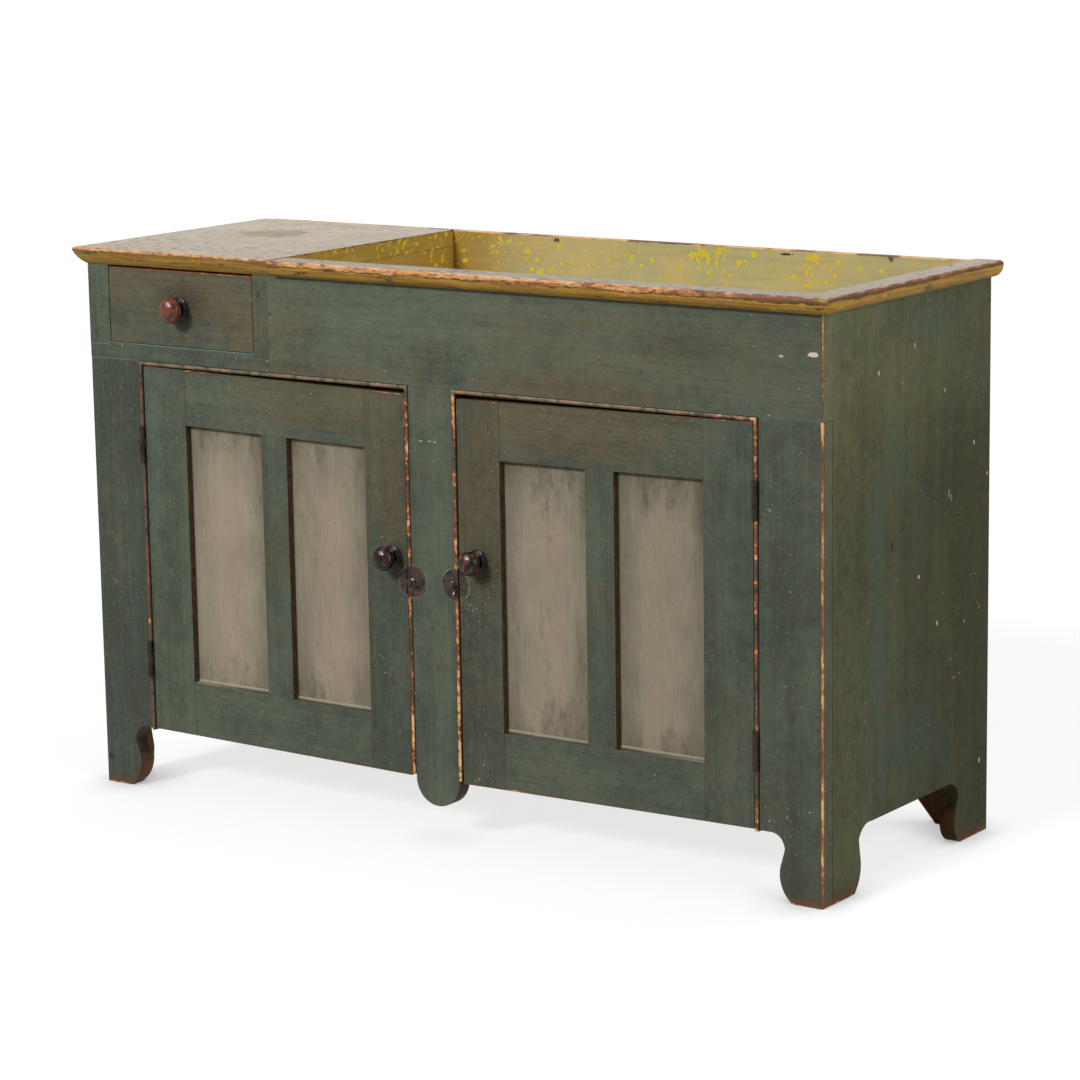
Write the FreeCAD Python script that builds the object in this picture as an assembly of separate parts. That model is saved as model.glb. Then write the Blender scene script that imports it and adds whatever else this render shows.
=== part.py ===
import FreeCAD, Part
import math
import os

# Dry sink cabinet in painted pine: a cupboard with two frame-and-panel doors, a drawer under a
# flat work slab at the left, and an open well inside a moulded rim at the right.
# Working axes, in millimetres: X runs from the left end of the case to the right, Y from the
# front face to the back, Z up from the floor. finish() moves every piece to the final origin,
# at the bottom centre of the whole cabinet.

V = FreeCAD.Vector

# ---------------------------------------------------------------- driving dimensions

# Case
case_width = 1270.0
case_depth = 465.0
case_height = 800.0  # floor to the underside of the top
front_thickness = 25.0
end_thickness = 24.0
left_stile_width = 95.0
right_stile_width = 99.0
centre_stile_width = 76.0
apron_height = 141.0
board_thickness = 19.0  # bottom and shelf
dado_depth = 8.0

# Feet. Each value pair is how far the sawn edge lies from the corner of the case, and its height:
# at the fullest point of the bulge, where the bulge ends, and at the waist under the arch. The
# first and last values are how far it reaches at the floor and where the arch levels off.
arch_height = 95.5
end_arch_height = 92.0
front_foot_floor = 48.5
front_foot_bulge = (68.0, 38.0)
front_foot_neck = (64.5, 57.5)
front_foot_waist = (60.0, 74.0)
front_foot_spring = 81.0
end_foot_floor = 84.0
end_foot_bulge = (101.3, 32.0)
end_foot_neck = (99.5, 52.0)
end_foot_waist = (96.0, 74.0)
end_foot_spring = 130.0
rear_foot_floor = 79.0
rear_foot_bulge = (97.2, 27.0)
rear_foot_neck = (93.5, 45.0)
rear_foot_waist = (86.0, 69.0)
rear_foot_spring = 118.0
left_foot_cut = 20.0  # the left end's front foot is sawn this much narrower
tongue_height = 51.0
foot_block_thickness = 15.0
foot_block_inset = 8.0  # its sawn edge inside that of the stile
floor_board_lift = 2.5  # bottom board above the top of the arches

# Top
slab_width = 361.0  # case end to the edge of the well
slab_thickness = 25.0
slab_overhang = 16.0
slab_round = 4.0  # small round at the upper edge of the nosing
slab_fullness = 0.4  # of the nosing's underside: 0 is a plain slant, 1 a full quarter round
rim_thickness = 24.0
rim_overhang = 19.0
rim_round = 5.5
rim_fullness = 1.0
nose_start = 1.0

# Well
well_depth = 120.0  # case top to the floor of the well
well_side_thickness = 19.0
well_back_thickness = 16.0
well_back_rise = 24.0
well_floor_thickness = 19.0
cleat_size = 20.0

# Shelf and back
shelf_height = 372.0
shelf_setback = 40.0
back_thickness = 15.0
back_rabbet = 10.0
well_board_count = 3  # back boards behind the well, beside the one behind the drawer
back_board_gap = 0.8
back_lift = 90.0
back_foot_width = 75.0
back_foot_angle = 48.6

# Bead round each door opening
bead_width = 6.5
bead_proud = 3.0
bead_drop = 1.5  # below the top of the arches

# Doors
door_drop = 1.5  # foot of a door below the bottom board
door_stop_gap = 0.5  # back of a door to the bottom board, which stops it
door_hinge_gap = 1.5
door_latch_gap = 1.5
door_top_gap = 1.0
door_sag = 6.0  # the latch edge hangs this much lower than the hinge edge
hinge_stile_width = 78.5
lock_stile_width = 72.0
top_rail_width = 83.0
bottom_rail_width = 82.0
muntin_width = 47.0
panel_recess = 10.0
panel_thickness = 7.0
groove_depth = 8.0
groove_play = 1.0
tenon_length = 34.0
tenon_shoulder = 14.0

# Butt hinges
hinge_length = 54.0
left_hinge_insets = (108.5, 118.5)  # middle of a hinge from the foot and from the top of the door
right_hinge_insets = (109.5, 104.5)
knuckle_radius = 4.25
knuckle_proud = 3.8
knuckle_gap = 0.3
pin_radius = 2.2
pin_fit = 0.05
leaf_thickness = 1.8
leaf_reach = 20.0

# Turned knobs
knob_projection = 35.0
door_knob_head = (17.5, 19.0)  # radius and depth
drawer_knob_head = (19.0, 24.0)
knob_flange_radius = 16.5
knob_flange_depth = 5.0
knob_neck_radius = 8.0
left_knob_inset = 25.5  # latch edge of the door to the knob
left_knob_height = 410.0
right_knob_inset = 32.5
right_knob_height = 418.0

# Round iron latches
latch_radius = 23.0
latch_thickness = 2.0
left_latch_inset = 1.5  # edge of the centre stile to the middle of the disc
left_latch_drop = 33.0  # knob to the latch below it
left_pivot_inset = 0.5  # edge of the centre stile to the pivot
right_latch_inset = -0.7
right_latch_drop = 38.0
right_pivot_inset = 3.0
keeper_gap = 0.8
pivot_radius = 3.0
pivot_fit = 0.1
pivot_head_radius = 4.6
pivot_head_height = 2.4
lever_boss_radius = 6.0
lever_length = 16.5
lever_tip_radius = 2.2
lever_thickness = 3.0
lever_gap = 0.4
thumb_height = 2.6
thumb_length = 5.5
left_lever_angle = -35.0
right_lever_angle = -66.0

# Drawer
upper_stile_width = 40.0
divider_width = 28.0
divider_inset = 16.0  # edge of the well to the divider
drawer_rail_height = 25.0
frame_notch = 5.0  # the short stile and the divider are let into the rail
drawer_side_gap = 1.0
drawer_top_gap = 3.0
drawer_bottom_gap = 1.2
drawer_front_thickness = 22.0
drawer_side_thickness = 12.0
drawer_side_drop = 8.0
drawer_back_thickness = 12.0
drawer_back_drop = 6.0
drawer_bottom_thickness = 8.0
drawer_bottom_rise = 10.0
drawer_groove_depth = 5.0
drawer_rear_clearance = 20.0
runner_width = 32.0
runner_fit = 0.3
guide_gap = 0.7
guide_height = 45.0
tail_count = 3
tail_length = 14.0
tail_width = 20.0
tail_flare = 2.5

# ---------------------------------------------------------------- derived places

end_inner = case_width - end_thickness
seam_z = case_height - apron_height
opening_width = (case_width - left_stile_width - right_stile_width - centre_stile_width) / 2
door_thickness = front_thickness - door_stop_gap
back_face = case_depth - back_thickness
well_back_face = back_face - well_back_thickness
well_side_face = slab_width - well_side_thickness
well_back_top = case_height + well_back_rise
well_floor_top = case_height - well_depth
well_floor_under = well_floor_top - well_floor_thickness
bottom_under = arch_height + floor_board_lift
bottom_top = bottom_under + board_thickness
shelf_front = front_thickness + shelf_setback

bead_top_under = seam_z - bead_width
bead_foot = arch_height - bead_drop
door_hinge_edge = bead_width + door_hinge_gap
door_width = opening_width - 2 * bead_width - door_hinge_gap - door_latch_gap
door_top = bead_top_under - door_top_gap
door_bottom = bottom_under - door_drop
panel_back = panel_recess + panel_thickness

hinge_axis_u = bead_width / 2
knuckle_length = hinge_length / 3
left_latch_height = left_knob_height - left_latch_drop
right_latch_height = right_knob_height - right_latch_drop

divider_right = slab_width - divider_inset
divider_left = divider_right - divider_width
drawer_left = upper_stile_width + drawer_side_gap
drawer_right = divider_left - drawer_side_gap
drawer_sill = seam_z + drawer_rail_height
notch_z = drawer_sill - frame_notch
drawer_base = drawer_sill + drawer_bottom_gap
drawer_top = case_height - drawer_top_gap
drawer_end = well_back_face - drawer_rear_clearance

parts = {}

# ---------------------------------------------------------------- shape helpers


def block(x0, x1, y0, y1, z0, z1):
    """A plain board between two corners."""
    return Part.makeBox(x1 - x0, y1 - y0, z1 - z0, V(x0, y0, z0))


def on_front(a, z):
    """A point of an outline drawn on the front plane: across, up."""
    return V(a, 0, z)


def on_end(a, z):
    """A point of an outline drawn on an end plane: back from the front face, up."""
    return V(0, a, z)


def on_plan(x, y):
    """A point of an outline drawn on the plan."""
    return V(x, y, 0)


def outline_face(points, plane, arcs=()):
    """A flat face. points run round the outline; an index in arcs starts a round stretch there,
    whose middle and end are the next two points."""
    edges = []
    i = 0
    count = len(points)
    while i < count:
        start = plane(*points[i])
        following = plane(*points[(i + 1) % count])
        if i in arcs:
            end = plane(*points[(i + 2) % count])
            edges.append(Part.Arc(start, following, end).toShape())
            i += 2
        else:
            edges.append(Part.LineSegment(start, following).toShape())
            i += 1
    return Part.Face(Part.Wire(edges))


def quarter(inner, outer):
    """The middle of a quarter round that leaves inner on the level and meets outer upright."""
    return (
        inner[0] + (outer[0] - inner[0]) * math.sqrt(0.5),
        outer[1] + (inner[1] - outer[1]) * math.sqrt(0.5),
    )


def extrude_y(face, y0, y1):
    """A front outline made into a board from y0 back to y1."""
    solid = face.extrude(V(0, y1 - y0, 0))
    solid.translate(V(0, y0, 0))
    return solid


def extrude_x(face, x0, x1):
    """An end outline made into a board from x0 to x1."""
    solid = face.extrude(V(x1 - x0, 0, 0))
    solid.translate(V(x0, 0, 0))
    return solid


def extrude_z(face, z0, z1):
    """A plan outline made into a piece from z0 up to z1."""
    solid = face.extrude(V(0, 0, z1 - z0))
    solid.translate(V(0, 0, z0))
    return solid


def rod(radius, start, direction, length):
    """A round bar."""
    return Part.makeCylinder(radius, length, start, direction)


def keep(name, *solids):
    """Stores the solids of one node."""
    parts[name] = list(solids)


# ---------------------------------------------------------------- feet and front frame


def foot_outline(arch, floor, bulge, neck, waist, spring):
    """The sawn edge of a foot from the floor up to the arch: a round bulge, a straight neck and
    the quarter round where the arch begins."""
    top = (spring, arch)
    return [(floor, 0), bulge, neck, waist, quarter(top, waist), top]


def inset(foot, amount):
    """The same sawn edge, nearer to the corner of the case."""
    return [(reach - amount, z) for reach, z in foot]


front_foot = foot_outline(
    arch_height,
    front_foot_floor,
    front_foot_bulge,
    front_foot_neck,
    front_foot_waist,
    front_foot_spring,
)
end_foot = foot_outline(
    end_arch_height,
    end_foot_floor,
    end_foot_bulge,
    end_foot_neck,
    end_foot_waist,
    end_foot_spring,
)
rear_foot = foot_outline(
    end_arch_height,
    rear_foot_floor,
    rear_foot_bulge,
    rear_foot_neck,
    rear_foot_waist,
    rear_foot_spring,
)


def mirrored(shape):
    """The same piece at the other end of the case."""
    copy = shape.mirror(V(0, 0, 0), V(1, 0, 0))
    copy.translate(V(case_width, 0, 0))
    return copy


def side_stile(width):
    """A side stile at the left end, its lower end sawn to the foot."""
    points = [(0, 0), *front_foot, (width, arch_height), (width, seam_z), (0, seam_z)]
    return extrude_y(outline_face(points, on_front, (1, 4)), 0, front_thickness)


def foot_block():
    """The glue block behind the left front foot, sawn to the same outline a little further in."""
    sawn = inset(front_foot, foot_block_inset)
    points = [(0, 0), *sawn, (sawn[-1][0], bottom_under), (0, bottom_under)]
    block_face = outline_face(points, on_front, (1, 4))
    piece = extrude_y(block_face, front_thickness, front_thickness + foot_block_thickness)
    return piece.cut(block(0, end_thickness, 0, case_depth, 0, case_height))


def end_board(foot):
    """An end, drawn at the left: two sawn feet with an arch between them, dadoes for the bottom
    and the shelf, and a rabbet down the back edge for the back boards."""
    rear = [(case_depth - reach, z) for reach, z in reversed(rear_foot)]
    points = [(front_thickness, 0), *foot, *rear, (case_depth, 0)]
    points += [(case_depth, case_height), (front_thickness, case_height)]
    board = extrude_x(outline_face(points, on_end, (1, 4, 7, 10)), 0, end_thickness)
    inner = end_thickness - dado_depth
    cuts = [
        block(inner, end_thickness, front_thickness, back_face, bottom_under, bottom_top),
        block(inner, end_thickness, shelf_front, back_face, shelf_height, shelf_top),
        block(end_thickness - back_rabbet, end_thickness, back_face, case_depth, 0, case_height),
    ]
    return board.cut(cuts)


def centre_stile():
    """The stile between the doors, its lower end a half-round tongue that hangs clear."""
    left = left_stile_width + opening_width
    right = left + centre_stile_width
    middle = (left + right) / 2
    radius = centre_stile_width / 2
    shoulder = tongue_height + radius
    arc = Part.Arc(V(left, 0, shoulder), V(middle, 0, tongue_height), V(right, 0, shoulder))
    corners = [V(right, 0, shoulder), V(right, 0, seam_z), V(left, 0, seam_z)]
    corners.append(V(left, 0, shoulder))
    sides = Part.makePolygon(corners)
    return extrude_y(Part.Face(Part.Wire([arc.toShape(), *sides.Edges])), 0, front_thickness)


shelf_top = shelf_height + board_thickness

keep("stile_left", side_stile(left_stile_width))
keep("stile_right", mirrored(side_stile(right_stile_width)))
keep("stile_center", centre_stile())
keep("foot_blocks", foot_block(), mirrored(foot_block()))
keep("end_left", end_board(inset(end_foot, left_foot_cut)))
keep("end_right", mirrored(end_board(end_foot)))

keep(
    "apron_board",
    block(divider_right, case_width, 0, front_thickness, seam_z, case_height),
)
short_stile = block(0, upper_stile_width, 0, front_thickness, notch_z, case_height)
divider = block(divider_left, divider_right, 0, front_thickness, notch_z, case_height)
rail = block(0, divider_right, 0, front_thickness, seam_z, drawer_sill)
keep("drawer_rail", rail.cut([short_stile, divider]))
keep("stile_upper_left", short_stile)
keep("drawer_divider", divider)

# ---------------------------------------------------------------- inside of the case

housing_left = end_thickness - dado_depth
housing_right = case_width - housing_left
keep(
    "bottom_board",
    block(housing_left, housing_right, front_thickness, back_face, bottom_under, bottom_top),
)
keep(
    "shelf",
    block(housing_left, housing_right, shelf_front, back_face, shelf_height, shelf_top),
)


def outer_back_board(width):
    """The left back board, in the end's rabbet. It runs down to the floor as a foot, cut off
    on a slant towards the middle of the back."""
    left = end_thickness - back_rabbet
    right = left + width
    run = back_lift / math.tan(math.radians(back_foot_angle))
    points = [(left, 0), (back_foot_width, 0), (back_foot_width + run, back_lift)]
    points += [(right, back_lift), (right, case_height), (left, case_height)]
    return extrude_y(outline_face(points, on_front), back_face, case_depth)


back_left = end_thickness - back_rabbet
well_board_pitch = (case_width - back_left - slab_width + back_board_gap) / well_board_count
well_board_width = well_board_pitch - back_board_gap
keep("back_board_1", outer_back_board(slab_width - back_board_gap - back_left))
keep(f"back_board_{well_board_count + 1}", mirrored(outer_back_board(well_board_width)))
for index in range(well_board_count - 1):
    left = slab_width + index * well_board_pitch
    right = left + well_board_width
    board = block(left, right, back_face, case_depth, back_lift, case_height)
    keep(f"back_board_{index + 2}", board)

keep(
    "well_side_left",
    block(
        well_side_face, slab_width, front_thickness, well_back_face, well_floor_under, case_height
    ),
)


def well_back():
    """The back of the well. It runs on behind the slab, and lies over the left end's top."""
    board = block(
        end_thickness, end_inner, well_back_face, back_face, well_floor_under, well_back_top
    )
    ear = block(0, end_thickness, well_back_face, back_face, case_height, well_back_top)
    return board.fuse(ear).removeSplitter()


keep("well_back", well_back())
keep(
    "well_floor",
    block(
        slab_width, end_inner, front_thickness, well_back_face, well_floor_under, well_floor_top
    ),
)
cleat_under = well_floor_under - cleat_size
front_cleat_back = front_thickness + cleat_size
back_cleat_front = back_face - cleat_size
keep(
    "well_cleats",
    block(
        well_side_face,
        end_inner,
        front_thickness,
        front_cleat_back,
        cleat_under,
        well_floor_under,
    ),
    block(
        well_side_face, end_inner, back_cleat_front, back_face, cleat_under, well_floor_under
    ),
    block(
        end_inner - cleat_size,
        end_inner,
        front_cleat_back,
        back_cleat_front,
        cleat_under,
        well_floor_under,
    ),
)

# ---------------------------------------------------------------- moulded top


def nose_points(top, overhang, small_round, fullness):
    """The nosing from its flat top round to its underside: how far each point stands out from
    the case, and its height. A small quarter round above, a larger round or a slant below."""
    crown = (overhang - small_round, top)
    brow = (overhang, top - small_round)
    heel = (nose_start, case_height)
    full = quarter(heel, brow)
    slant = ((heel[0] + brow[0]) / 2, (heel[1] + brow[1]) / 2)
    belly = tuple(flat + fullness * (round_ - flat) for flat, round_ in zip(slant, full))
    return [crown, quarter(crown, brow), brow, belly, heel]


slab_nose = nose_points(case_height + slab_thickness, slab_overhang, slab_round, slab_fullness)
rim_nose = nose_points(case_height + rim_thickness, rim_overhang, rim_round, rim_fullness)


def nosed_board(nose, inner, plane, side):
    """The section of a top board whose outer edge is nosed. side turns a distance out from the
    case into the plane's first coordinate, and inner is the board's other edge."""
    points = [(side(out), z) for out, z in nose]
    points += [(inner, case_height), (inner, nose[0][1])]
    return outline_face(points, plane, (0, 2))


def out_low(out):
    """Out from the front face or from the left end."""
    return -out


def out_right(out):
    """Out from the right end."""
    return case_width + out


def top_slab():
    """The work slab: nosed along the front and the left end, the two nosings mitred. Its back
    edge meets the back of the well."""
    start = -2 * slab_overhang
    front_section = nosed_board(slab_nose, well_back_face, on_end, out_low)
    end_section = nosed_board(slab_nose, 2 * slab_width, on_front, out_low)
    along = extrude_x(front_section, start, slab_width)
    return along.common(extrude_y(end_section, start, well_back_face))


mitre_inner = (end_inner, front_thickness)
mitre_outer = (
    mitre_inner[0] + 2 * (case_width + rim_overhang - end_inner),
    mitre_inner[1] - 2 * (front_thickness + rim_overhang),
)


def rim_front():
    """The front of the well's rim, from the slab to the mitre."""
    section = nosed_board(rim_nose, front_thickness, on_end, out_low)
    strip = extrude_x(section, slab_width, case_width + rim_overhang)
    plan = [(slab_width, front_thickness), mitre_inner, mitre_outer]
    plan += [(slab_width, mitre_outer[1])]
    wedge = extrude_z(outline_face(plan, on_plan), 0, case_height + case_height)
    return strip.common(wedge)


def rim_right():
    """The right side of the rim, from the mitre to the back."""
    section = nosed_board(rim_nose, end_inner, on_front, out_right)
    strip = extrude_y(section, -rim_overhang, case_depth)
    plan = [mitre_inner, (end_inner, case_depth), (mitre_outer[0], case_depth), mitre_outer]
    wedge = extrude_z(outline_face(plan, on_plan), 0, case_height + case_height)
    return strip.common(wedge)


keep("top_slab", top_slab())
keep("rim_front", rim_front())
keep("rim_right", rim_right())

# ---------------------------------------------------------------- both door openings
# What belongs to a door is drawn once, for an opening hung on its left: u runs across from the
# edge of the hinge-side stile. at_left() and at_right() then bring it to its opening.


def at_left(shape):
    """Into the left opening, hung on the left stile."""
    copy = shape.copy()
    copy.translate(V(left_stile_width, 0, 0))
    return copy


def at_right(shape):
    """Into the right opening, mirrored to hang on the right stile."""
    copy = shape.mirror(V(0, 0, 0), V(1, 0, 0))
    copy.translate(V(case_width - right_stile_width, 0, 0))
    return copy


def bead_section(radius):
    """The section of an upright bead strip: flat sides and a half-round nose."""
    nose = Part.Arc(V(0, 0, 0), V(radius, -bead_proud, 0), V(2 * radius, 0, 0)).toShape()
    corners = [V(2 * radius, 0, 0), V(2 * radius, front_thickness, 0), V(0, front_thickness, 0)]
    corners.append(V(0, 0, 0))
    return Part.Face(Part.Wire([nose, *Part.makePolygon(corners).Edges]))


def opening_beads(hinge_bases, latch_height):
    """The bead round one opening, mitred at the top corners. The hinge side is cut away at the
    hinges, and the latch side is pared flush where the latch plate lies."""
    inner = opening_width - bead_width
    upright = extrude_z(bead_section(bead_width / 2), bead_foot, seam_z)
    far_upright = upright.copy()
    far_upright.translate(V(inner, 0, 0))
    head = extrude_z(bead_section(bead_width / 2), 0, opening_width)
    head.rotate(V(0, 0, 0), V(0, 1, 0), 90)
    head.translate(V(0, 0, seam_z))
    near_plan = [(0, 0), (bead_width, 0), (bead_width, bead_top_under), (0, seam_z)]
    far_plan = [(inner, 0), (opening_width, 0), (opening_width, seam_z)]
    far_plan += [(inner, bead_top_under)]
    head_plan = [(0, seam_z), (bead_width, bead_top_under), (inner, bead_top_under)]
    head_plan += [(opening_width, seam_z)]
    near = upright.common(extrude_y(outline_face(near_plan, on_front), -bead_width, case_depth))
    far = far_upright.common(extrude_y(outline_face(far_plan, on_front), -bead_width, case_depth))
    head = head.common(extrude_y(outline_face(head_plan, on_front), -bead_width, case_depth))
    for base in hinge_bases:
        low = base - knuckle_gap
        high = base + hinge_length + knuckle_gap
        near = near.cut(block(0, bead_width, -bead_proud, front_thickness, low, high))
    reach = latch_radius + knuckle_gap
    plate = block(
        inner,
        opening_width,
        -bead_proud,
        0,
        latch_height - reach,
        latch_height + reach,
    )
    return [*near.Solids, far.cut(plate), head]


# ---------------------------------------------------------------- doors


def sag_at(u):
    """How far the door hangs down at u: it is racked, its stiles still upright."""
    return door_sag * (u - door_hinge_edge) / door_width


def door_member(u0, u1, y0, y1, z0, z1):
    """A straight member of the door, racked with it. Heights are those at the hinge edge."""
    points = [
        (u0, z0 - sag_at(u0)),
        (u1, z0 - sag_at(u1)),
        (u1, z1 - sag_at(u1)),
        (u0, z1 - sag_at(u0)),
    ]
    return extrude_y(outline_face(points, on_front), y0, y1)


def door_parts():
    """Stiles, rails, muntin and panels of one door, with tenons, mortises and panel grooves."""
    left = door_hinge_edge
    right = left + door_width
    hinge_inner = left + hinge_stile_width
    lock_inner = right - lock_stile_width
    rail_low = door_bottom + bottom_rail_width
    rail_high = door_top - top_rail_width
    light = (lock_inner - hinge_inner - muntin_width) / 2
    muntin_left = hinge_inner + light
    muntin_right = muntin_left + muntin_width

    def tenon(u0, u1, z0, z1):
        return door_member(u0, u1, panel_recess, panel_back, z0, z1)

    def panel(u0, u1, reach):
        return tenon(u0 - reach, u1 + reach, rail_low - reach, rail_high + reach)

    grooves = [
        panel(hinge_inner, muntin_left, groove_depth),
        panel(muntin_right, lock_inner, groove_depth),
    ]
    bottom_tenon = (door_bottom + tenon_shoulder, rail_low - groove_depth)
    top_tenon = (rail_high + groove_depth, door_top - tenon_shoulder)
    mortise_left = hinge_inner - tenon_length
    mortise_right = lock_inner + tenon_length
    mortises = [tenon(mortise_left, mortise_right, *span) for span in (bottom_tenon, top_tenon)]
    muntin_span = (muntin_left + groove_depth, muntin_right - groove_depth)
    muntin_tenon = tenon(*muntin_span, rail_low - tenon_length, rail_high + tenon_length)

    def framed(u0, u1, z0, z1):
        return door_member(u0, u1, 0, door_thickness, z0, z1)

    hinge_stile = framed(left, hinge_inner, door_bottom, door_top).cut([*mortises, *grooves])
    lock_stile = framed(lock_inner, right, door_bottom, door_top).cut([*mortises, *grooves])
    top_rail = framed(hinge_inner, lock_inner, rail_high, door_top).fuse(mortises[1])
    bottom_rail = framed(hinge_inner, lock_inner, door_bottom, rail_low).fuse(mortises[0])
    muntin = framed(muntin_left, muntin_right, rail_low, rail_high).fuse(muntin_tenon)
    return {
        "hinge_stile": hinge_stile,
        "lock_stile": lock_stile,
        "top_rail": top_rail.cut([*grooves, muntin_tenon]),
        "bottom_rail": bottom_rail.cut([*grooves, muntin_tenon]),
        "muntin": muntin.cut(grooves),
        "panel_outer": panel(hinge_inner, muntin_left, groove_depth - groove_play),
        "panel_inner": panel(muntin_right, lock_inner, groove_depth - groove_play),
    }


# ---------------------------------------------------------------- hinges


def hinge_leaf(base, leaf_u, knuckles):
    """One leaf of a butt hinge: a plate on a board's edge, joined to the knuckles in its list."""
    tail = block(
        leaf_u,
        leaf_u + leaf_thickness,
        knuckle_radius + knuckle_gap - knuckle_proud,
        leaf_reach,
        base,
        base + hinge_length,
    )
    bore = rod(
        pin_radius + pin_fit, V(hinge_axis_u, -knuckle_proud, base), V(0, 0, 1), hinge_length
    )
    leaf = tail
    for index in knuckles:
        low = base + index * knuckle_length + (knuckle_gap / 2 if index else 0)
        high = base + (index + 1) * knuckle_length - (knuckle_gap / 2 if index < 2 else 0)
        barrel = rod(
            knuckle_radius,
            V(hinge_axis_u, -knuckle_proud, low),
            V(0, 0, 1),
            high - low,
        )
        web = block(leaf_u, leaf_u + leaf_thickness, -knuckle_proud, leaf_reach, low, high)
        leaf = leaf.fuse([barrel, web])
    return leaf.cut(bore).removeSplitter()


def hinge_pin(base):
    """The pin of one hinge, flush with both ends of the barrel."""
    return rod(pin_radius, V(hinge_axis_u, -knuckle_proud, base), V(0, 0, 1), hinge_length)


def hinge_parts(hinge_bases):
    """Case leaves, door leaves and pins of one door's two hinges."""
    door_leaf_u = door_hinge_edge - leaf_thickness
    case_leaves = [hinge_leaf(base, 0, (0, 2)) for base in hinge_bases]
    door_leaves = [hinge_leaf(base, door_leaf_u, (1,)) for base in hinge_bases]
    pins = [hinge_pin(base) for base in hinge_bases]
    return case_leaves, door_leaves, pins


# ---------------------------------------------------------------- knobs and latches


def knob(x, z, head):
    """A turned knob: a flange, a neck and a thick head."""
    head_radius, head_depth = head
    outline = [
        (0, 0),
        (knob_flange_radius, 0),
        (knob_flange_radius, knob_flange_depth),
        (knob_neck_radius, knob_flange_depth),
        (knob_neck_radius, knob_projection - head_depth),
        (head_radius, knob_projection - head_depth),
        (head_radius, knob_projection),
        (0, knob_projection),
    ]
    profile = outline_face([(radius, -out) for radius, out in outline], on_plan)
    solid = profile.revolve(V(0, 0, 0), V(0, 1, 0), 360)
    solid.translate(V(x, 0, z))
    return solid


def latch_parts(inset, pivot_inset, height):
    """Plate and pivot on the centre stile, and the keeper on the door that completes the disc."""
    centre_u = opening_width + inset
    flat_u = opening_width - bead_width
    door_edge = door_hinge_edge + door_width
    back = V(centre_u, -latch_thickness, height)
    disc = rod(latch_radius, back, V(0, 1, 0), latch_thickness)
    reach = 2 * latch_radius
    plate_half = block(
        flat_u, flat_u + 2 * reach, -reach, reach, height - reach, height + reach
    )
    keeper_half = block(
        flat_u - 2 * reach,
        door_edge - keeper_gap,
        -reach,
        reach,
        height - reach,
        height + reach,
    )
    pivot_u = opening_width + pivot_inset
    head_base = latch_thickness + 2 * lever_gap + lever_thickness
    stem = rod(
        pivot_radius, V(pivot_u, -latch_thickness, height), V(0, -1, 0), head_base - latch_thickness
    )
    head = rod(pivot_head_radius, V(pivot_u, -head_base, height), V(0, -1, 0), pivot_head_height)
    plate = disc.common(plate_half).fuse([stem, head])
    return plate, disc.common(keeper_half)


def lever(x, z, angle):
    """The thumb lever of a latch: a boss on the pivot, a tapered arm and a raised thumb piece."""
    near = -latch_thickness - lever_gap
    far = near - lever_thickness
    arm_end = lever_length - lever_tip_radius
    plan = [
        (0, lever_boss_radius - lever_tip_radius),
        (arm_end, lever_tip_radius),
        (arm_end, -lever_tip_radius),
        (0, lever_tip_radius - lever_boss_radius),
    ]
    arm = extrude_y(outline_face(plan, on_front), far, near)
    boss = rod(lever_boss_radius, V(0, far, 0), V(0, 1, 0), lever_thickness)
    tip = rod(lever_tip_radius, V(arm_end, far, 0), V(0, 1, 0), lever_thickness)
    thumb_start = lever_length - thumb_length
    thumb = extrude_z(
        outline_face(
            [
                (thumb_start, far),
                (arm_end, far),
                (arm_end, far - thumb_height),
                (arm_end - lever_tip_radius, far - thumb_height),
            ],
            on_plan,
        ),
        -lever_tip_radius,
        lever_tip_radius,
    )
    through = 3 * lever_thickness
    bore = rod(pivot_radius + pivot_fit, V(0, far - lever_thickness, 0), V(0, 1, 0), through)
    solid = arm.fuse([boss, tip, thumb]).cut(bore).removeSplitter()
    solid.rotate(V(0, 0, 0), V(0, -1, 0), angle)
    solid.translate(V(x, 0, z))
    return solid


# ---------------------------------------------------------------- doors hung in the case

bead_solids = []
case_leaf_solids = []
pin_solids = []
left_door = (left_hinge_insets, left_knob_inset, left_knob_height)
right_door = (right_hinge_insets, right_knob_inset, right_knob_height)
left_latch = (left_latch_inset, left_pivot_inset, left_latch_height)
right_latch = (right_latch_inset, right_pivot_inset, right_latch_height)
for side, move, door, latch in (
    ("left", at_left, left_door, left_latch),
    ("right", at_right, right_door, right_latch),
):
    hinge_insets, knob_inset, knob_height = door
    hinge_middles = (door_bottom + hinge_insets[0], door_top - hinge_insets[1])
    hinge_bases = [height - hinge_length / 2 for height in hinge_middles]
    latch_height = latch[2]
    bead_solids += [move(solid) for solid in opening_beads(hinge_bases, latch_height)]
    for name, solid in door_parts().items():
        keep(f"door_{side}_{name}", move(solid))
    case_leaves, door_leaves, pins = hinge_parts(hinge_bases)
    case_leaf_solids += [move(leaf) for leaf in case_leaves]
    pin_solids += [move(pin) for pin in pins]
    keep(f"hinge_leaves_door_{side}", *[move(leaf) for leaf in door_leaves])
    plate, keeper = latch_parts(*latch)
    keep(f"latch_plate_{side}", move(plate))
    keep(f"latch_keeper_{side}", move(keeper))
    knob_u = door_hinge_edge + door_width - knob_inset
    keep(f"door_{side}_knob", move(knob(knob_u, knob_height, door_knob_head)))
keep("opening_beads", *bead_solids)
keep("hinge_leaves_case", *case_leaf_solids)
keep("hinge_pins", *pin_solids)

left_pivot_x = left_stile_width + opening_width + left_pivot_inset
right_pivot_x = case_width - right_stile_width - opening_width - right_pivot_inset
keep("latch_lever_left", lever(left_pivot_x, left_latch_height, left_lever_angle))
keep("latch_lever_right", lever(right_pivot_x, right_latch_height, right_lever_angle))

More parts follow.
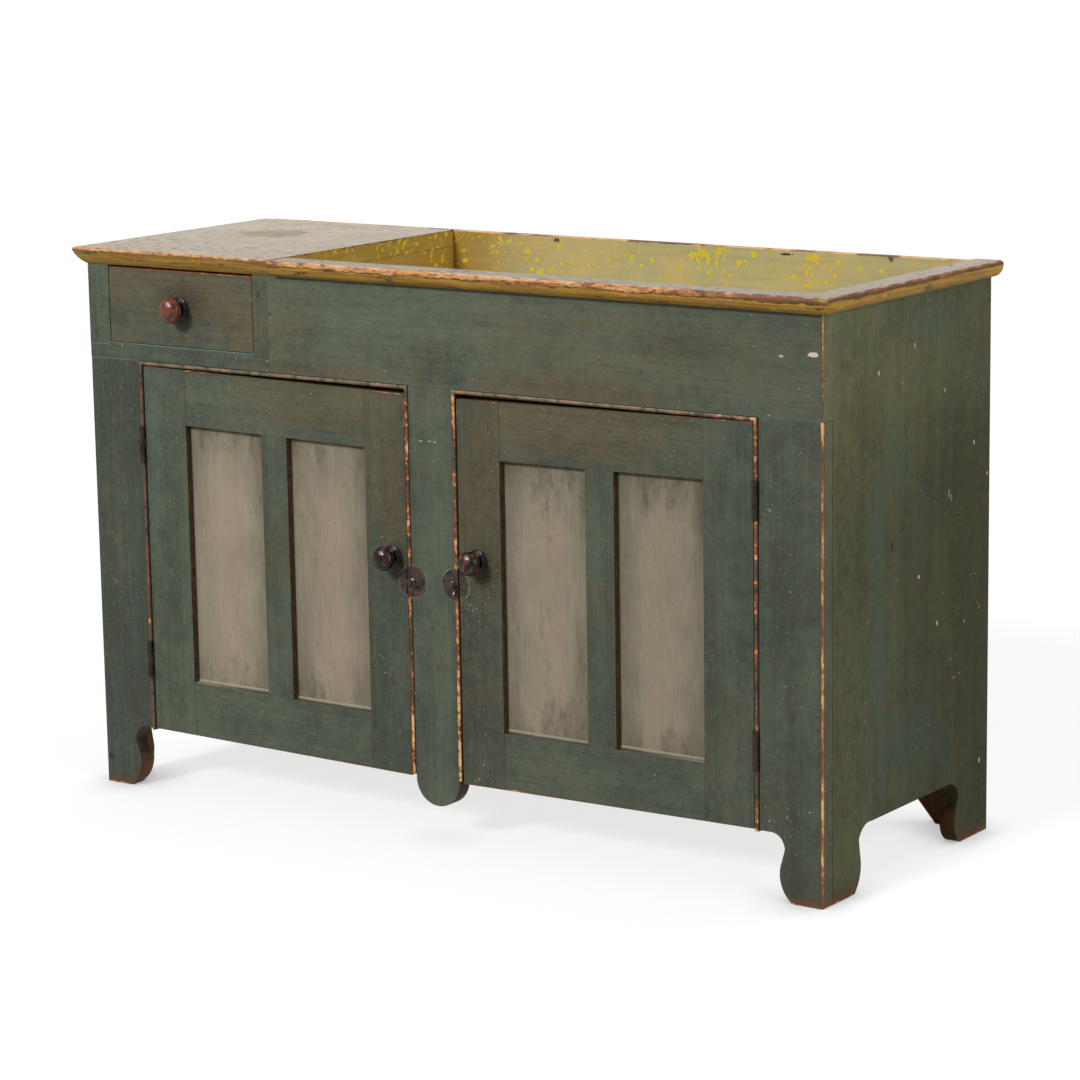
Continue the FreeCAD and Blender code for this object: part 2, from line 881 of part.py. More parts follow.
# ---------------------------------------------------------------- drawer


def dovetail_tails(x0, x1):
    """The tails at the front end of a drawer side, wider at their tips."""
    height = drawer_top - drawer_side_drop - drawer_base
    pitch = height / tail_count
    root = drawer_front_thickness
    tip = drawer_front_thickness - tail_length
    tails = []
    for index in range(tail_count):
        middle = drawer_base + pitch * (index + 0.5)
        half = tail_width / 2
        points = [
            (root, middle - half),
            (root, middle + half),
            (tip, middle + half + tail_flare),
            (tip, middle - half - tail_flare),
        ]
        tails.append(extrude_x(outline_face(points, on_end), x0, x1))
    return tails


side_top = drawer_top - drawer_side_drop
inner_left = drawer_left + drawer_side_thickness
inner_right = drawer_right - drawer_side_thickness
bottom_plate_z = drawer_base + drawer_bottom_rise
bottom_plate_top = bottom_plate_z + drawer_bottom_thickness
left_tails = dovetail_tails(drawer_left, inner_left)
right_tails = dovetail_tails(inner_right, drawer_right)
drawer_plate = block(
    inner_left - drawer_groove_depth,
    inner_right + drawer_groove_depth,
    drawer_front_thickness - drawer_groove_depth,
    drawer_end,
    bottom_plate_z,
    bottom_plate_top,
)
drawer_middle = (drawer_left + drawer_right) / 2
drawer_knob_z = (drawer_base + drawer_top) / 2
front_blank = block(
    drawer_left, drawer_right, 0, drawer_front_thickness, drawer_base, drawer_top
)
keep(
    "drawer_front",
    front_blank.cut([*left_tails, *right_tails, drawer_plate]),
)
for side, x0, x1, tails in (
    ("left", drawer_left, inner_left, left_tails),
    ("right", inner_right, drawer_right, right_tails),
):
    plank = block(x0, x1, drawer_front_thickness, drawer_end, drawer_base, side_top)
    keep(f"drawer_side_{side}", plank.fuse(tails).cut(drawer_plate).removeSplitter())
keep(
    "drawer_back",
    block(
        inner_left,
        inner_right,
        drawer_end - drawer_back_thickness,
        drawer_end,
        bottom_plate_top,
        side_top - drawer_back_drop,
    ),
)
keep("drawer_bottom", drawer_plate)
keep("drawer_knob", knob(drawer_middle, drawer_knob_z, drawer_knob_head))

runner_top = drawer_base - runner_fit
left_guide = drawer_left - guide_gap
right_guide = drawer_right + guide_gap


def runner(wall, guide, edge):
    """An L-shaped runner: a base under the drawer side and a guide strip beside it."""
    base_ends = sorted((wall, edge))
    guide_ends = sorted((wall, guide))
    guide_top = runner_top + guide_height
    base = block(*base_ends, front_thickness, well_back_face, seam_z, runner_top)
    strip = block(*guide_ends, front_thickness, well_back_face, runner_top, guide_top)
    return base.fuse(strip).removeSplitter()


keep(
    "drawer_runners",
    runner(end_thickness, left_guide, end_thickness + runner_width),
    runner(well_side_face, right_guide, well_side_face - runner_width),
)

# ---------------------------------------------------------------- origin and files


middle_x = (case_width + rim_overhang - slab_overhang) / 2
middle_y = (case_depth - knob_projection) / 2


def finish(solids):
    """Moves the solids of a node to the cabinet's origin and joins them into one shape."""
    shape = Part.makeCompound(solids) if len(solids) > 1 else solids[0]
    shape.translate(V(-middle_x, -middle_y, 0))
    return shape


os.makedirs("parts", exist_ok=True)
for name, solids in parts.items():
    finish(solids).exportStep(f"parts/{name}.step")
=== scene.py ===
"""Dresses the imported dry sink: old paint, worn edges, turned knobs, keeper screws and a studio.

Lengths are in metres unless a comment says mm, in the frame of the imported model: +Z up, the doors
face -Y. Sides of a node's box are named "x0", "x1", "y0" and so on: 0 is the low side, 1 the high.
"""

import math

import bmesh
import bpy
from mathutils import Matrix, Vector


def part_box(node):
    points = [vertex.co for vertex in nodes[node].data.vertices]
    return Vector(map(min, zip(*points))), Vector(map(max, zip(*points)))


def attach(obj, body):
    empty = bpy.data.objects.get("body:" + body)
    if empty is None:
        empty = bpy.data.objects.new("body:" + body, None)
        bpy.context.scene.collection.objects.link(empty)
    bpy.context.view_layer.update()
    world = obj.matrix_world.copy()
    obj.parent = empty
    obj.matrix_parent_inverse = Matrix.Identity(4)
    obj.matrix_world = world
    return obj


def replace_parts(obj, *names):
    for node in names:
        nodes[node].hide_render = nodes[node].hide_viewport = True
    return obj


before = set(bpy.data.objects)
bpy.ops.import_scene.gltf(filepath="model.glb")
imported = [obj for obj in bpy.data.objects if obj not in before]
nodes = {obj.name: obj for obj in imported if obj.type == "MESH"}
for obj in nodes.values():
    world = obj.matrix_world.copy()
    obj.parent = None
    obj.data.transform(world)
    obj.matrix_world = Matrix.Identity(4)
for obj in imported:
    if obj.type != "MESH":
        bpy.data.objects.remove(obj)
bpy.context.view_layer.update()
MM = 0.001

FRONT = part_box("apron_board")[0].y
CASE_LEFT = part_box("end_left")[0].x
CASE_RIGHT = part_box("end_right")[1].x
WELL_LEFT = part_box("well_floor")[0].x
WELL_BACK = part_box("well_back")[0].y
WELL_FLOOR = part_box("well_floor")[1].z
CASE_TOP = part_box("apron_board")[1].z
DOOR_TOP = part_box("door_left_top_rail")[1].z
FOOT_TOP = 94 * MM

# Ways the grain runs.
UP = "z"
ACROSS = "x"
BACK = "y"

# ---- colours


def paint(red, green, blue):
    """A colour given as screen values from 0 to 255, made linear by the sRGB curve."""
    def linear(value):
        value /= 255
        return value / 12.92 if value <= 0.04045 else ((value + 0.055) / 1.055) ** 2.4
    return (linear(red), linear(green), linear(blue), 1)


GREEN_DEEP = paint(51, 58, 47)
GREEN_PALE = paint(93, 101, 84)
TEAL = paint(80, 112, 104)
TEAL_PALE = paint(120, 150, 138)
TEAL_OLD = paint(76, 94, 82)
OLIVE = paint(98, 97, 64)
OLIVE_DARK = paint(62, 61, 38)
BROWN = paint(96, 84, 58)
BROWN_MID = paint(76, 64, 42)
BROWN_DARK = paint(48, 37, 26)
CHIP_RED = paint(118, 66, 42)
ORANGE = paint(182, 104, 54)
AMBER = paint(214, 142, 74)
BARE_WOOD = paint(224, 174, 118)
FLECK = paint(178, 182, 158)
GRIME_AND_SHADE = paint(26, 21, 16)
PANEL = paint(138, 129, 108)
PANEL_PALE = paint(160, 151, 130)
PANEL_DARK = paint(84, 77, 58)
PANEL_WARM = paint(172, 152, 128)
TOP_GREY = paint(176, 167, 152)
TOP_PALE = paint(212, 201, 186)
TOP_WARM = paint(214, 190, 160)
RIM_GREY = paint(158, 148, 138)
TOP_STAIN = paint(134, 122, 100)
MAUVE = paint(132, 108, 98)
BEAD_BROWN = paint(136, 108, 82)
MUSTARD = paint(190, 146, 56)
MUSTARD_DARK = paint(140, 100, 38)
OCHRE = paint(158, 128, 50)
KHAKI = paint(190, 173, 112)
KHAKI_GREEN = paint(172, 165, 118)
YELLOW = paint(210, 186, 40)
PINE = paint(170, 128, 80)
PINE_DARK = paint(118, 82, 48)
KNOB_RED = paint(122, 68, 44)
KNOB_DARK = paint(12, 8, 7)
KNOB_BROWN = paint(36, 23, 18)
IRON = paint(64, 53, 44)
IRON_DARK = paint(22, 17, 14)
IRON_WORN = paint(128, 116, 104)
IRON_RUST = paint(92, 58, 44)
IRON_BRIGHT = paint(206, 200, 192)

# ---- node helpers

SEEN_BY = ("Is Camera Ray", "Is Glossy Ray", "Is Transmission Ray")


class Nodes:
    """Builds one node tree. A value is a number, a colour, a vector or another node's socket."""

    def __init__(self, owner):
        owner.use_nodes = True
        self.tree = owner.node_tree
        self.tree.nodes.clear()

    def add(self, kind, *setting, **inputs):
        """Adds a node, makes one setting if its name and value are given, and fills its inputs."""
        node = self.tree.nodes.new("ShaderNode" + kind)
        if setting:
            setattr(node, *setting)
        for key, value in inputs.items():
            self.connect(node.inputs[key], value)
        return node

    def connect(self, socket, value):
        if isinstance(value, bpy.types.NodeSocket):
            self.tree.links.new(value, socket)
        else:
            socket.default_value = value

    def math(self, operation, *values, kind="Math"):
        node = self.add(kind, "operation", operation)
        for socket, value in zip(node.inputs, values):
            self.connect(socket, value)
        return node.outputs[0]

    def chain(self, operation, values):
        result = values[0]
        for value in values[1:]:
            result = self.math(operation, result, value)
        return result

    def times(self, *values):
        return self.chain("MULTIPLY", values)

    def total(self, *values):
        return self.chain("ADD", values)

    def most(self, *values):
        return self.chain("MAXIMUM", values)

    def minus(self, first, second):
        return self.math("SUBTRACT", first, second)

    def size(self, value):
        """A value without its sign."""
        return self.math("ABSOLUTE", value)

    def ramp(self, value, low, high):
        """0 at low, 1 at high, smooth between; low may be the larger."""
        ends = {"From Min": low, "From Max": high}
        return self.add("MapRange", "interpolation_type", "SMOOTHSTEP", Value=value, **ends).outputs[0]

    def seen(self):
        """1 for rays that show a thing to the eye, straight or in gloss or glass; 0 for the others."""
        path = self.add("LightPath")
        return self.most(*(path.outputs[ray] for ray in SEEN_BY))


class Recipe(Nodes):
    """Builds one material. Its coordinates are the object's own, in metres."""

    def __init__(self, name, seed=0):
        self.material = bpy.data.materials.new(name)
        super().__init__(self.material)
        self.seed = seed
        coords = self.add("TexCoord")
        self.point = coords.outputs["Object"]
        self.x, self.y, self.z = self.add("SeparateXYZ", Vector=self.point).outputs
        normal = self.add("SeparateXYZ", Vector=coords.outputs["Normal"])
        self.facing_x, self.facing_y, self.facing_z = normal.outputs

    def weigh(self, *parts):
        """A weighted sum; parts alternates a value and its weight."""
        return self.total(*map(self.times, parts[::2], parts[1::2]))

    def swing(self, noise, size):
        """A noise of 0 to 1 made to swing from -size/2 to size/2."""
        return self.times(self.minus(noise, 0.5), size)

    def frayed(self, value, *swings):
        """A value stirred by noises; swings alternates a noise and the size of its swing."""
        return self.total(value, *map(self.swing, swings[::2], swings[1::2]))

    def mix(self, amount, first, second):
        """The first colour where amount is 0, the second where it is 1."""
        node = self.add("Mix", "data_type", "RGBA", Factor=amount)
        self.connect(node.inputs[6], first)
        self.connect(node.inputs[7], second)
        return node.outputs[2]

    def wash(self, colour, tint, strength, value, low, high):
        """The colour, washed over with a tint where value goes from low to high."""
        return self.mix(self.times(self.ramp(value, low, high), strength), colour, tint)

    def placed(self, scale, shift, turn=None):
        """The point, turned if asked, scaled along each axis in cycles per metre, moved by the seed."""
        point = self.point
        if turn is not None:
            node = self.add("VectorRotate", "rotation_type", "EULER_XYZ", Vector=point, Rotation=turn)
            point = node.outputs[0]
        scales = scale if isinstance(scale, tuple) else (scale, scale, scale)
        offset = 3.7 * self.seed + shift
        offsets = (offset, 1.3 * offset, 0.7 * offset)
        return self.math("MULTIPLY_ADD", point, scales, offsets, kind="VectorMath")

    def noise(self, scale, detail=3, rough=0.6, shift=0, distort=0):
        """Cloudy noise from about 0 to 1. scale is one number or one for each axis."""
        node = self.add(
            "TexNoise", Vector=self.placed(scale, shift), Scale=1, Detail=detail, Roughness=rough,
            Distortion=distort,
        )
        return node.outputs["Fac"]

    def drawn(self, grain, along, across, detail=3, rough=0.6, shift=0, distort=0):
        """Cloudy noise drawn out along the grain."""
        scale = tuple(along if axis == grain else across for axis in "xyz")
        return self.noise(scale, detail, rough, shift, distort)

    def cells(self, scale, shift=0, turn=None):
        """Distance to the nearest of scattered points, in cells, and two random numbers for each."""
        node = self.add("TexVoronoi", Vector=self.placed(scale, shift, turn), Scale=1)
        split = self.add("SeparateColor", Color=node.outputs["Color"])
        return node.outputs["Distance"], split.outputs[0], split.outputs[1]

    def bump(self, height, strength, distance, normal=None):
        node = self.add("Bump", Height=height, Strength=strength, Distance=distance)
        if normal is not None:
            self.connect(node.inputs["Normal"], normal)
        return node.outputs[0]

    def away(self, axis, place):
        """Distance from a plane across one axis; axis is a letter."""
        return self.size(self.minus(getattr(self, axis), place))

    def near(self, axis, place, reach):
        """1 at a plane across one axis, fading to 0 at reach from it."""
        return self.ramp(self.away(axis, place), reach, 0)

    def facing(self, axis):
        """How squarely the surface looks along an axis, either way: 1 if straight at it."""
        return self.size(getattr(self, "facing_" + axis))

    def far(self, centre, reach):
        """0 at a point and 1 at the edge of an ellipsoid about it, growing beyond."""
        squares = []
        for axis, place, length in zip("xyz", centre, reach):
            along = self.math("DIVIDE", self.minus(getattr(self, axis), place), length)
            squares.append(self.times(along, along))
        return self.math("SQRT", self.total(*squares))

    def spot(self, centre, reach):
        """1 at a point, fading to 0 at reach from it. reach has one length for each axis."""
        return self.ramp(self.far(centre, reach), 1, 0)

    def finish(self, colour, roughness, normal, metallic=0, specular=0.25):
        shader = self.add("BsdfPrincipled", **{
            "Base Color": colour, "Roughness": roughness, "Normal": normal, "Metallic": metallic,
            "Specular IOR Level": specular,
        })
        self.add("OutputMaterial", Surface=shader.outputs[0])
        return self.material


# ---- the frame's nodes


def dress(node, material):
    """Gives a CAD node its material."""
    mesh = nodes[node].data
    mesh.materials.clear()
    mesh.materials.append(material)


def soften(node, width):
    """Eases a CAD node's sharp edges."""
    weld = nodes[node].modifiers.new("weld", "WELD")
    weld.merge_threshold = 0.01 * MM
    ease = nodes[node].modifiers.new("ease", "BEVEL")
    ease.width = width
    ease.segments = 3
    ease.limit_method = "ANGLE"
    ease.angle_limit = math.radians(35)


def plane(node, side):
    """A side of a node's box as (axis letter, place)."""
    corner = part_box(node)[int(side[1])]
    return side[0], getattr(corner, side[0])


def middle(node):
    low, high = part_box(node)
    return (low + high) / 2


def on_face(face, along, up, wide, high, deep=1):
    """Middle and reach of an oval on the cabinet's front, or on its right end if face is "x"."""
    if face == "x":
        return (CASE_RIGHT, along, up), (deep, wide, high)
    return (along, FRONT, up), (wide, deep, high)


# ---- old paint

# Where hands and feet have rubbed the paint brown: place along the face and up, reach along and up,
# strength. END_TEALS is where the older teal coat shows on the right end, STAIN_DEPTH how deep they go.
FRONT_STAINS = (
    (-0.42, 0.758, 0.15, 0.062, 1), (-0.2, 0.632, 0.28, 0.085, 0.9),
    (0.24, 0.64, 0.32, 0.11, 1), (-0.08, 0.52, 0.06, 0.2, 1),
    (0.08, 0.5, 0.075, 0.26, 1), (0.32, 0.735, 0.42, 0.09, 0.55),
)
END_STAINS = (
    (-0.04, 0.64, 0.3, 0.23, 1), (0.16, 0.42, 0.15, 0.4, 1),
    (-0.17, 0.36, 0.08, 0.38, 0.7),
)
END_TEALS = (
    (-0.075, 0.5, 0.055, 0.15, 0.6), (-0.025, 0.59, 0.06, 0.11, 0.5),
    (0.05, 0.48, 0.045, 0.1, 0.45), (-0.065, 0.32, 0.05, 0.14, 0.5),
    (0, 0.17, 0.24, 0.12, 0.4), (0.1, 0.76, 0.2, 0.04, 0.45),
)
STAIN_DEPTH = {"x": 0.04, "y": 0.05}


def worn_wood(r, fray, patchy, bright):
    """Bare wood where paint has gone: red-brown, orange and cream. bright of 1 is the palest."""
    level = r.total(r.weigh(fray, 0.5, patchy, 0.5), 0.12 * bright)
    wood = r.mix(r.ramp(level, 0.5, 0.6), CHIP_RED, ORANGE)
    return r.mix(r.ramp(level, 0.58, 0.66), wood, BARE_WOOD)


def scratches(r, face, colour, strength):
    """Two sets of short thin scratches, each at its own slant, far apart."""
    spin = {"x": 0, "y": 1}[face]
    for number, (degrees, length, scarce) in enumerate(((24, 46, 0.9), (80, 34, 0.92))):
        turn = [0, 0, 0]
        turn[spin] = math.radians(degrees)
        scale = [120, 120, 120]
        scale[1 - spin] = 1000 / length
        away, pick, tone = r.cells(tuple(scale), shift=31 + 5 * number, turn=tuple(turn))
        limit = r.times(r.ramp(pick, scarce, 1), 0.1)
        mark = r.ramp(r.minus(limit, away), 0, 0.05)
        colour = r.mix(r.times(mark, tone, strength), colour, r.mix(pick, TEAL_PALE, FLECK))
    return colour


def flecks(r, colour, strength):
    """Scattered ragged specks, most of them cream or pale teal and some red or dark."""
    where = r.noise(13, shift=45)
    kind = r.noise(24, 2, 0.5, shift=46)
    pale = r.mix(r.ramp(kind, 0.44, 0.52), FLECK, TEAL_PALE)
    dark = r.mix(r.ramp(kind, 0.48, 0.54), CHIP_RED, GRIME_AND_SHADE)
    sets = ((230, 0.735, pale, 47), (130, 0.775, pale, 49), (150, 0.745, dark, 53))
    for scale, limit, tint, shift in sets:
        level = r.frayed(r.noise(scale, 2, shift=shift), where, 0.28)
        colour = r.wash(colour, tint, strength, level, limit, limit + 0.02)
    return colour


def along_edge(r, first, second, width, wear, fray, patchy):
    """How bare an arris is, and how rubbed beside it. Each plane is (axis letter, place)."""
    away = r.total(r.away(*first), r.away(*second))
    limit = r.frayed(width * wear, patchy, 2.6 * width, fray, 2.2 * width)
    bare = r.ramp(r.minus(limit, away), -0.25 * MM, 0.35 * MM)
    rubbed = r.ramp(r.minus(r.total(r.times(limit, 2), 1.5 * MM), away), -1 * MM, 2 * MM)
    return bare, rubbed


def painted_light_and_shade(r, colour):
    """Painted light and shade on old work: paler near the top, darker to the right and in the upper right
    corner of the front, and darker to the back of the end.
    """
    upper = r.times(r.ramp(r.z, 0.5, 0.74), 0.2)
    front = r.ramp(r.facing("y"), 0.5, 0.9)
    right = r.times(r.ramp(r.x, -0.5, 0.64), front, -0.15)
    corner = r.times(r.ramp(r.x, 0.3, 0.64), r.ramp(r.z, 0.55, 0.7), front, -0.2)
    end = r.ramp(r.facing_x, 0.5, 0.9)
    back = r.times(r.ramp(r.y, -0.2, 0.2), end, -0.5)
    high = r.times(r.ramp(r.z, 0.5, 0.76), end, 0.3)
    level = r.total(upper, right, corner, back, high, 0.98)
    return r.add("VectorMath", "operation", "SCALE", Vector=colour, Scale=level).outputs[0]


def sawn_foot(r, colour, look, cloud, mottle, fray):
    """Dark sawn faces in the feet, and dirt and kicked edges low down on the painted ones."""
    outer = r.most(r.near("x", CASE_LEFT, 3 * MM), r.near("x", CASE_RIGHT, 3 * MM))
    below = r.ramp(r.z, FOOT_TOP + 2 * MM, FOOT_TOP)
    cut = r.times(r.ramp(look, 0.45, 0.2), below, r.minus(1, outer))
    raw = r.mix(r.ramp(mottle, 0.4, 0.62), BROWN_DARK, BROWN_MID)
    low = r.frayed(r.ramp(r.z, 75 * MM, 20 * MM), mottle, 1.2)
    raw = r.wash(raw, CHIP_RED, 0.75, low, 0.35, 1.1)
    colour = r.mix(cut, colour, raw)
    dirt = r.frayed(r.ramp(r.z, 46 * MM, 0), cloud, 1.6, mottle, 1, fray, 0.8)
    colour = r.wash(colour, BROWN_MID, 0.7, dirt, 0.3, 0.95)
    kicked = r.frayed(r.ramp(r.z, 16 * MM, 0), mottle, 1.2, fray, 1.2)
    return r.wash(colour, CHIP_RED, 0.7, kicked, 0.45, 0.95)


def old_paint(
    node, seed, grain=UP, face="y", tone=0.5, brown=0.3, teal=0.4, edges=(), rim=0.2, bright=0.3,
    seams=(), marks=(), rings=(), sawn=False, lips=(), rub=(BROWN_MID, BROWN), smudges_and_shadows=(), texture=1,
    inside=None, gloss=0.22,
):
    """Blue-green paint on a node, rubbed brown where hands reach and through to the wood on some edges.

    face is the axis that the painted face looks along, and gloss how much it shines.
    edges lists (side, side, width in mm, wear): how far the rubbed arris between two sides reaches.
    rim is how worn every other arris of the face is, and bright how pale the bare wood is.
    seams lists (plane, width in mm, colour, strength) for thin lines at a joint.
    marks lists single marks: place along and up, reach along and up in mm, colour, raggedness.
    rings lists (centre, radius): a ridge of pale paint round a plate.
    sawn darkens the cut faces of the feet, across the painted face.
    lips lists (side, colour) for the narrow faces that look into the panels.
    rub is the darker and the paler colour of the rubbed paint.
    smudges lists (centre, reach, strength) for soft dark patches: grime round a knob, and painted shadow
    under it; texture is how strong the grain is.
    inside is (axis, sign, low z, finish): faces that look that way are well paint or bare pine.
    """
    # These three have no seed, so that they run on from one board to the next.
    r = Recipe("paint_" + node)
    cloud = r.noise(6.5, 5, 0.62, shift=9)
    drift = r.noise(3.4, 4, shift=19)
    mottle = r.noise(55, 4, 0.7, shift=11)

    r.seed = seed
    fibre = r.drawn(grain, 18, 560, 2)
    brush = r.drawn(grain, 6, 170, 4, 0.65, shift=4)
    band = r.drawn(grain, 1.7, 24, 4, shift=14, distort=0.4)
    grit = r.noise(420, 2, shift=16)
    value = r.total(r.weigh(cloud, 0.4, band, 0.3, mottle, 0.3), tone - 0.5)
    colour = r.mix(r.ramp(value, 0.34, 0.66), GREEN_DEEP, GREEN_PALE)

    # olive on the right end, and brown where the paint is rubbed thin
    olive = r.times(r.ramp(r.facing_x, 0.5, 0.9), r.frayed(0.7, drift, 1.2))
    colour = r.mix(olive, colour, r.mix(r.ramp(value, 0.34, 0.66), OLIVE_DARK, OLIVE))
    rubbed = r.ramp(r.weigh(drift, 0.7, mottle, 0.3), 0.6 - 0.24 * brown, 0.74 - 0.24 * brown)
    stains, teals = (END_STAINS, END_TEALS) if face == "x" else (FRONT_STAINS, ())
    for *place, strength in stains:
        patch = r.frayed(r.spot(*on_face(face, *place, STAIN_DEPTH[face])), cloud, 1.1, mottle, 0.7)
        rubbed = r.most(rubbed, r.times(r.ramp(patch, 0.08, 0.7), strength))
    colour = r.mix(r.times(rubbed, 0.85), colour, r.mix(r.ramp(value, 0.34, 0.64), *rub))
    # soft dark patches: grime, and painted shadow under the knobs
    for centre, reach, strength in smudges_and_shadows:
        patch = r.frayed(r.spot(centre, reach), cloud, 0.9, mottle, 0.4)
        colour = r.wash(colour, BROWN_DARK, strength, patch, 0.1, 0.9)

    # streaks of the older teal coat
    streaky = r.drawn(grain, 2.4, 46, 4, shift=21, distort=0.3)
    for *place, strength in teals:
        patch = r.frayed(r.spot(*on_face(face, *place, STAIN_DEPTH[face])), streaky, 1.6, cloud, 0.8)
        colour = r.wash(colour, TEAL_OLD, strength, patch, 0.1, 0.9)
    streak = r.times(r.ramp(streaky, 0.55, 0.76), 0.7)
    thin = r.times(r.ramp(r.drawn(grain, 7, 260, shift=23), 0.58, 0.74), 0.8)
    colour = r.mix(r.times(r.most(streak, thin), teal), colour, TEAL)

    # brush lines, stipple, grit and open grain
    stipple = r.drawn(grain, 95, 230, 3, 0.7, shift=26)
    for noise, depth, light, dark in (
        (brush, 0.32, GREEN_PALE, GREEN_DEEP), (stipple, 0.36, GREEN_PALE, BROWN_DARK),
        (grit, 0.38, GREEN_PALE, BROWN_MID),
    ):
        colour = r.wash(colour, light, depth * texture, noise, 0.52, 0.71)
        colour = r.wash(colour, dark, depth * texture, noise, 0.48, 0.28)
    colour = r.wash(colour, BROWN_DARK, 0.4 * texture, fibre, 0.54, 0.78)
    colour = r.wash(colour, BROWN_MID, 0.26, mottle, 0.6, 0.76)
    # paler near the top and darker to the right: painted light and shade
    colour = scratches(r, face, flecks(r, painted_light_and_shade(r, colour), 0.9), 0.6)

    # lines at the joints, ridges round plates, and single marks
    fray = r.drawn(grain, 60, 150, 4, 0.7, shift=51)
    patchy = r.noise(10, shift=57)
    for (axis, place), width, line, strength in seams:
        ragged = r.frayed(r.near(axis, place, width * MM), fray, 0.9, patchy, 1)
        fade = r.ramp(r.z, 0.54, 0.72) if axis == "y" else 1
        colour = r.mix(r.times(r.ramp(ragged, 0.35, 0.65), strength, fade), colour, line)
    for centre, radius in rings:
        away = r.size(r.minus(r.far(centre, (radius, 1, radius)), 1.045))
        ridge = r.times(r.ramp(away, 0.05, 0.015), r.ramp(r.total(fray, patchy), 0.85, 1.1))
        colour = r.mix(r.times(ridge, 0.6), colour, FLECK)
    for along, up, wide, high, mark, ragged in marks:
        oval = on_face(face, along, up, wide * MM, high * MM)
        colour = r.mix(r.ramp(r.frayed(r.spot(*oval), fray, ragged), 0.36, 0.5), colour, mark)

    # the feet, the lips round the panels, every arris of the face, then the most rubbed ones
    look = r.facing(face)
    if sawn:
        colour = sawn_foot(r, colour, look, cloud, mottle, fray)
    for side, lip in lips:
        axis, place = plane(node, side)
        lip_face = r.times(r.ramp(r.facing(axis), 0.6, 0.8), r.near(axis, place, 1.5 * MM))
        dirty_lip = r.wash(lip, CHIP_RED, 0.6, fray, 0.5, 0.62)
        colour = r.mix(r.times(lip_face, 0.9), colour, dirty_lip)
    arris = r.times(r.ramp(look, 0.99, 0.93), r.ramp(look, 0.2, 0.4))
    worn = r.ramp(r.weigh(fray, 0.7, patchy, 0.7), 0.98 - 0.45 * rim, 1.1 - 0.45 * rim)
    bare = r.times(arris, worn)
    colour = r.mix(r.times(arris, 0.35), colour, BROWN_MID)
    for first, second, width, wear in edges:
        sides = plane(node, first), plane(node, second)
        amount, beside = along_edge(r, *sides, width * MM, wear, fray, patchy)
        bare = r.most(bare, amount)
        colour = r.mix(r.times(beside, 0.55), colour, BROWN_MID)
    colour = r.mix(r.times(bare, 0.92), colour, worn_wood(r, fray, patchy, bright))

    if inside is not None:
        axis, sign, floor, other = inside
        behind = r.ramp(r.times(getattr(r, "facing_" + axis), sign), 0.5, 0.6)
        if other == "well":
            above = r.ramp(r.z, floor, floor + MM)
            colour = r.mix(r.times(behind, above), colour, well_colour(r))
            behind = r.times(behind, r.minus(1, above))
        colour = r.mix(behind, colour, pine_colour(r, grain))
    height = r.weigh(fibre, 0.35, brush, 0.9, mottle, 0.5, grit, 0.3)
    normal = r.bump(bare, -0.35, 0.4 * MM, r.bump(height, 0.34, 0.5 * MM))
    dress(node, r.finish(colour, r.total(0.5, r.times(cloud, 0.22)), normal, specular=gloss))


# ---- pine and the well


def pine_colour(r, grain=UP):
    """Old unpainted pine."""
    ring = r.drawn(grain, 1.5, 38, 4, shift=61, distort=1)
    fibre = r.drawn(grain, 12, 520, 2, shift=63)
    stain = r.noise(5, shift=67)
    colour = r.mix(r.ramp(ring, 0.35, 0.68), PINE, PINE_DARK)
    colour = r.wash(colour, PINE_DARK, 0.4, fibre, 0.5, 0.8)
    return r.wash(colour, BROWN_DARK, 0.35, stain, 0.5, 0.75)


def bare_pine(node, seed, grain):
    r = Recipe("pine_" + node, seed)
    fibre = r.drawn(grain, 12, 520, 2, shift=63)
    dress(node, r.finish(pine_colour(r, grain), 0.72, r.bump(fibre, 0.3, 0.4 * MM), specular=0.2))


# The well's paint turns from ochre to khaki between these two x.
OCHRE_END = (-0.272, -0.1)


def well_colour(r):
    """Olive-ochre paint, chipped to a bright yellow coat in ragged islands."""
    streak = r.noise((12, 12, 120), 4, shift=71)
    cloud = r.noise(7, 4, shift=73)
    mottle = r.noise(70, 4, 0.7, shift=74)
    khaki = r.mix(r.ramp(cloud, 0.36, 0.62), KHAKI, KHAKI_GREEN)
    colour = r.mix(r.ramp(r.frayed(r.x, cloud, 0.2), *OCHRE_END), OCHRE, khaki)
    colour = r.wash(colour, TOP_STAIN, 0.25, streak, 0.5, 0.74)
    colour = r.wash(colour, TOP_WARM, 0.2, streak, 0.5, 0.26)
    colour = r.wash(colour, MUSTARD, 0.3, mottle, 0.52, 0.72)
    island = r.noise(105, 3, 0.55, shift=77)
    where = r.noise(8, 2, 0.5, shift=79)
    upper = r.ramp(r.z, 0.74, 0.81)
    level = r.total(r.frayed(island, where, 0.5), r.times(upper, 0.05))
    colour = r.wash(colour, MUSTARD, 0.5, level, 0.64, 0.672)
    colour = r.mix(r.ramp(level, 0.672, 0.69), colour, YELLOW)
    away, pick, tone = r.cells(70, shift=83)
    pit = r.ramp(r.minus(r.times(pick, 0.09), away), 0, 0.03)
    return r.mix(r.times(pit, 0.8), colour, r.mix(r.ramp(tone, 0.4, 0.6), GRIME_AND_SHADE, CHIP_RED))


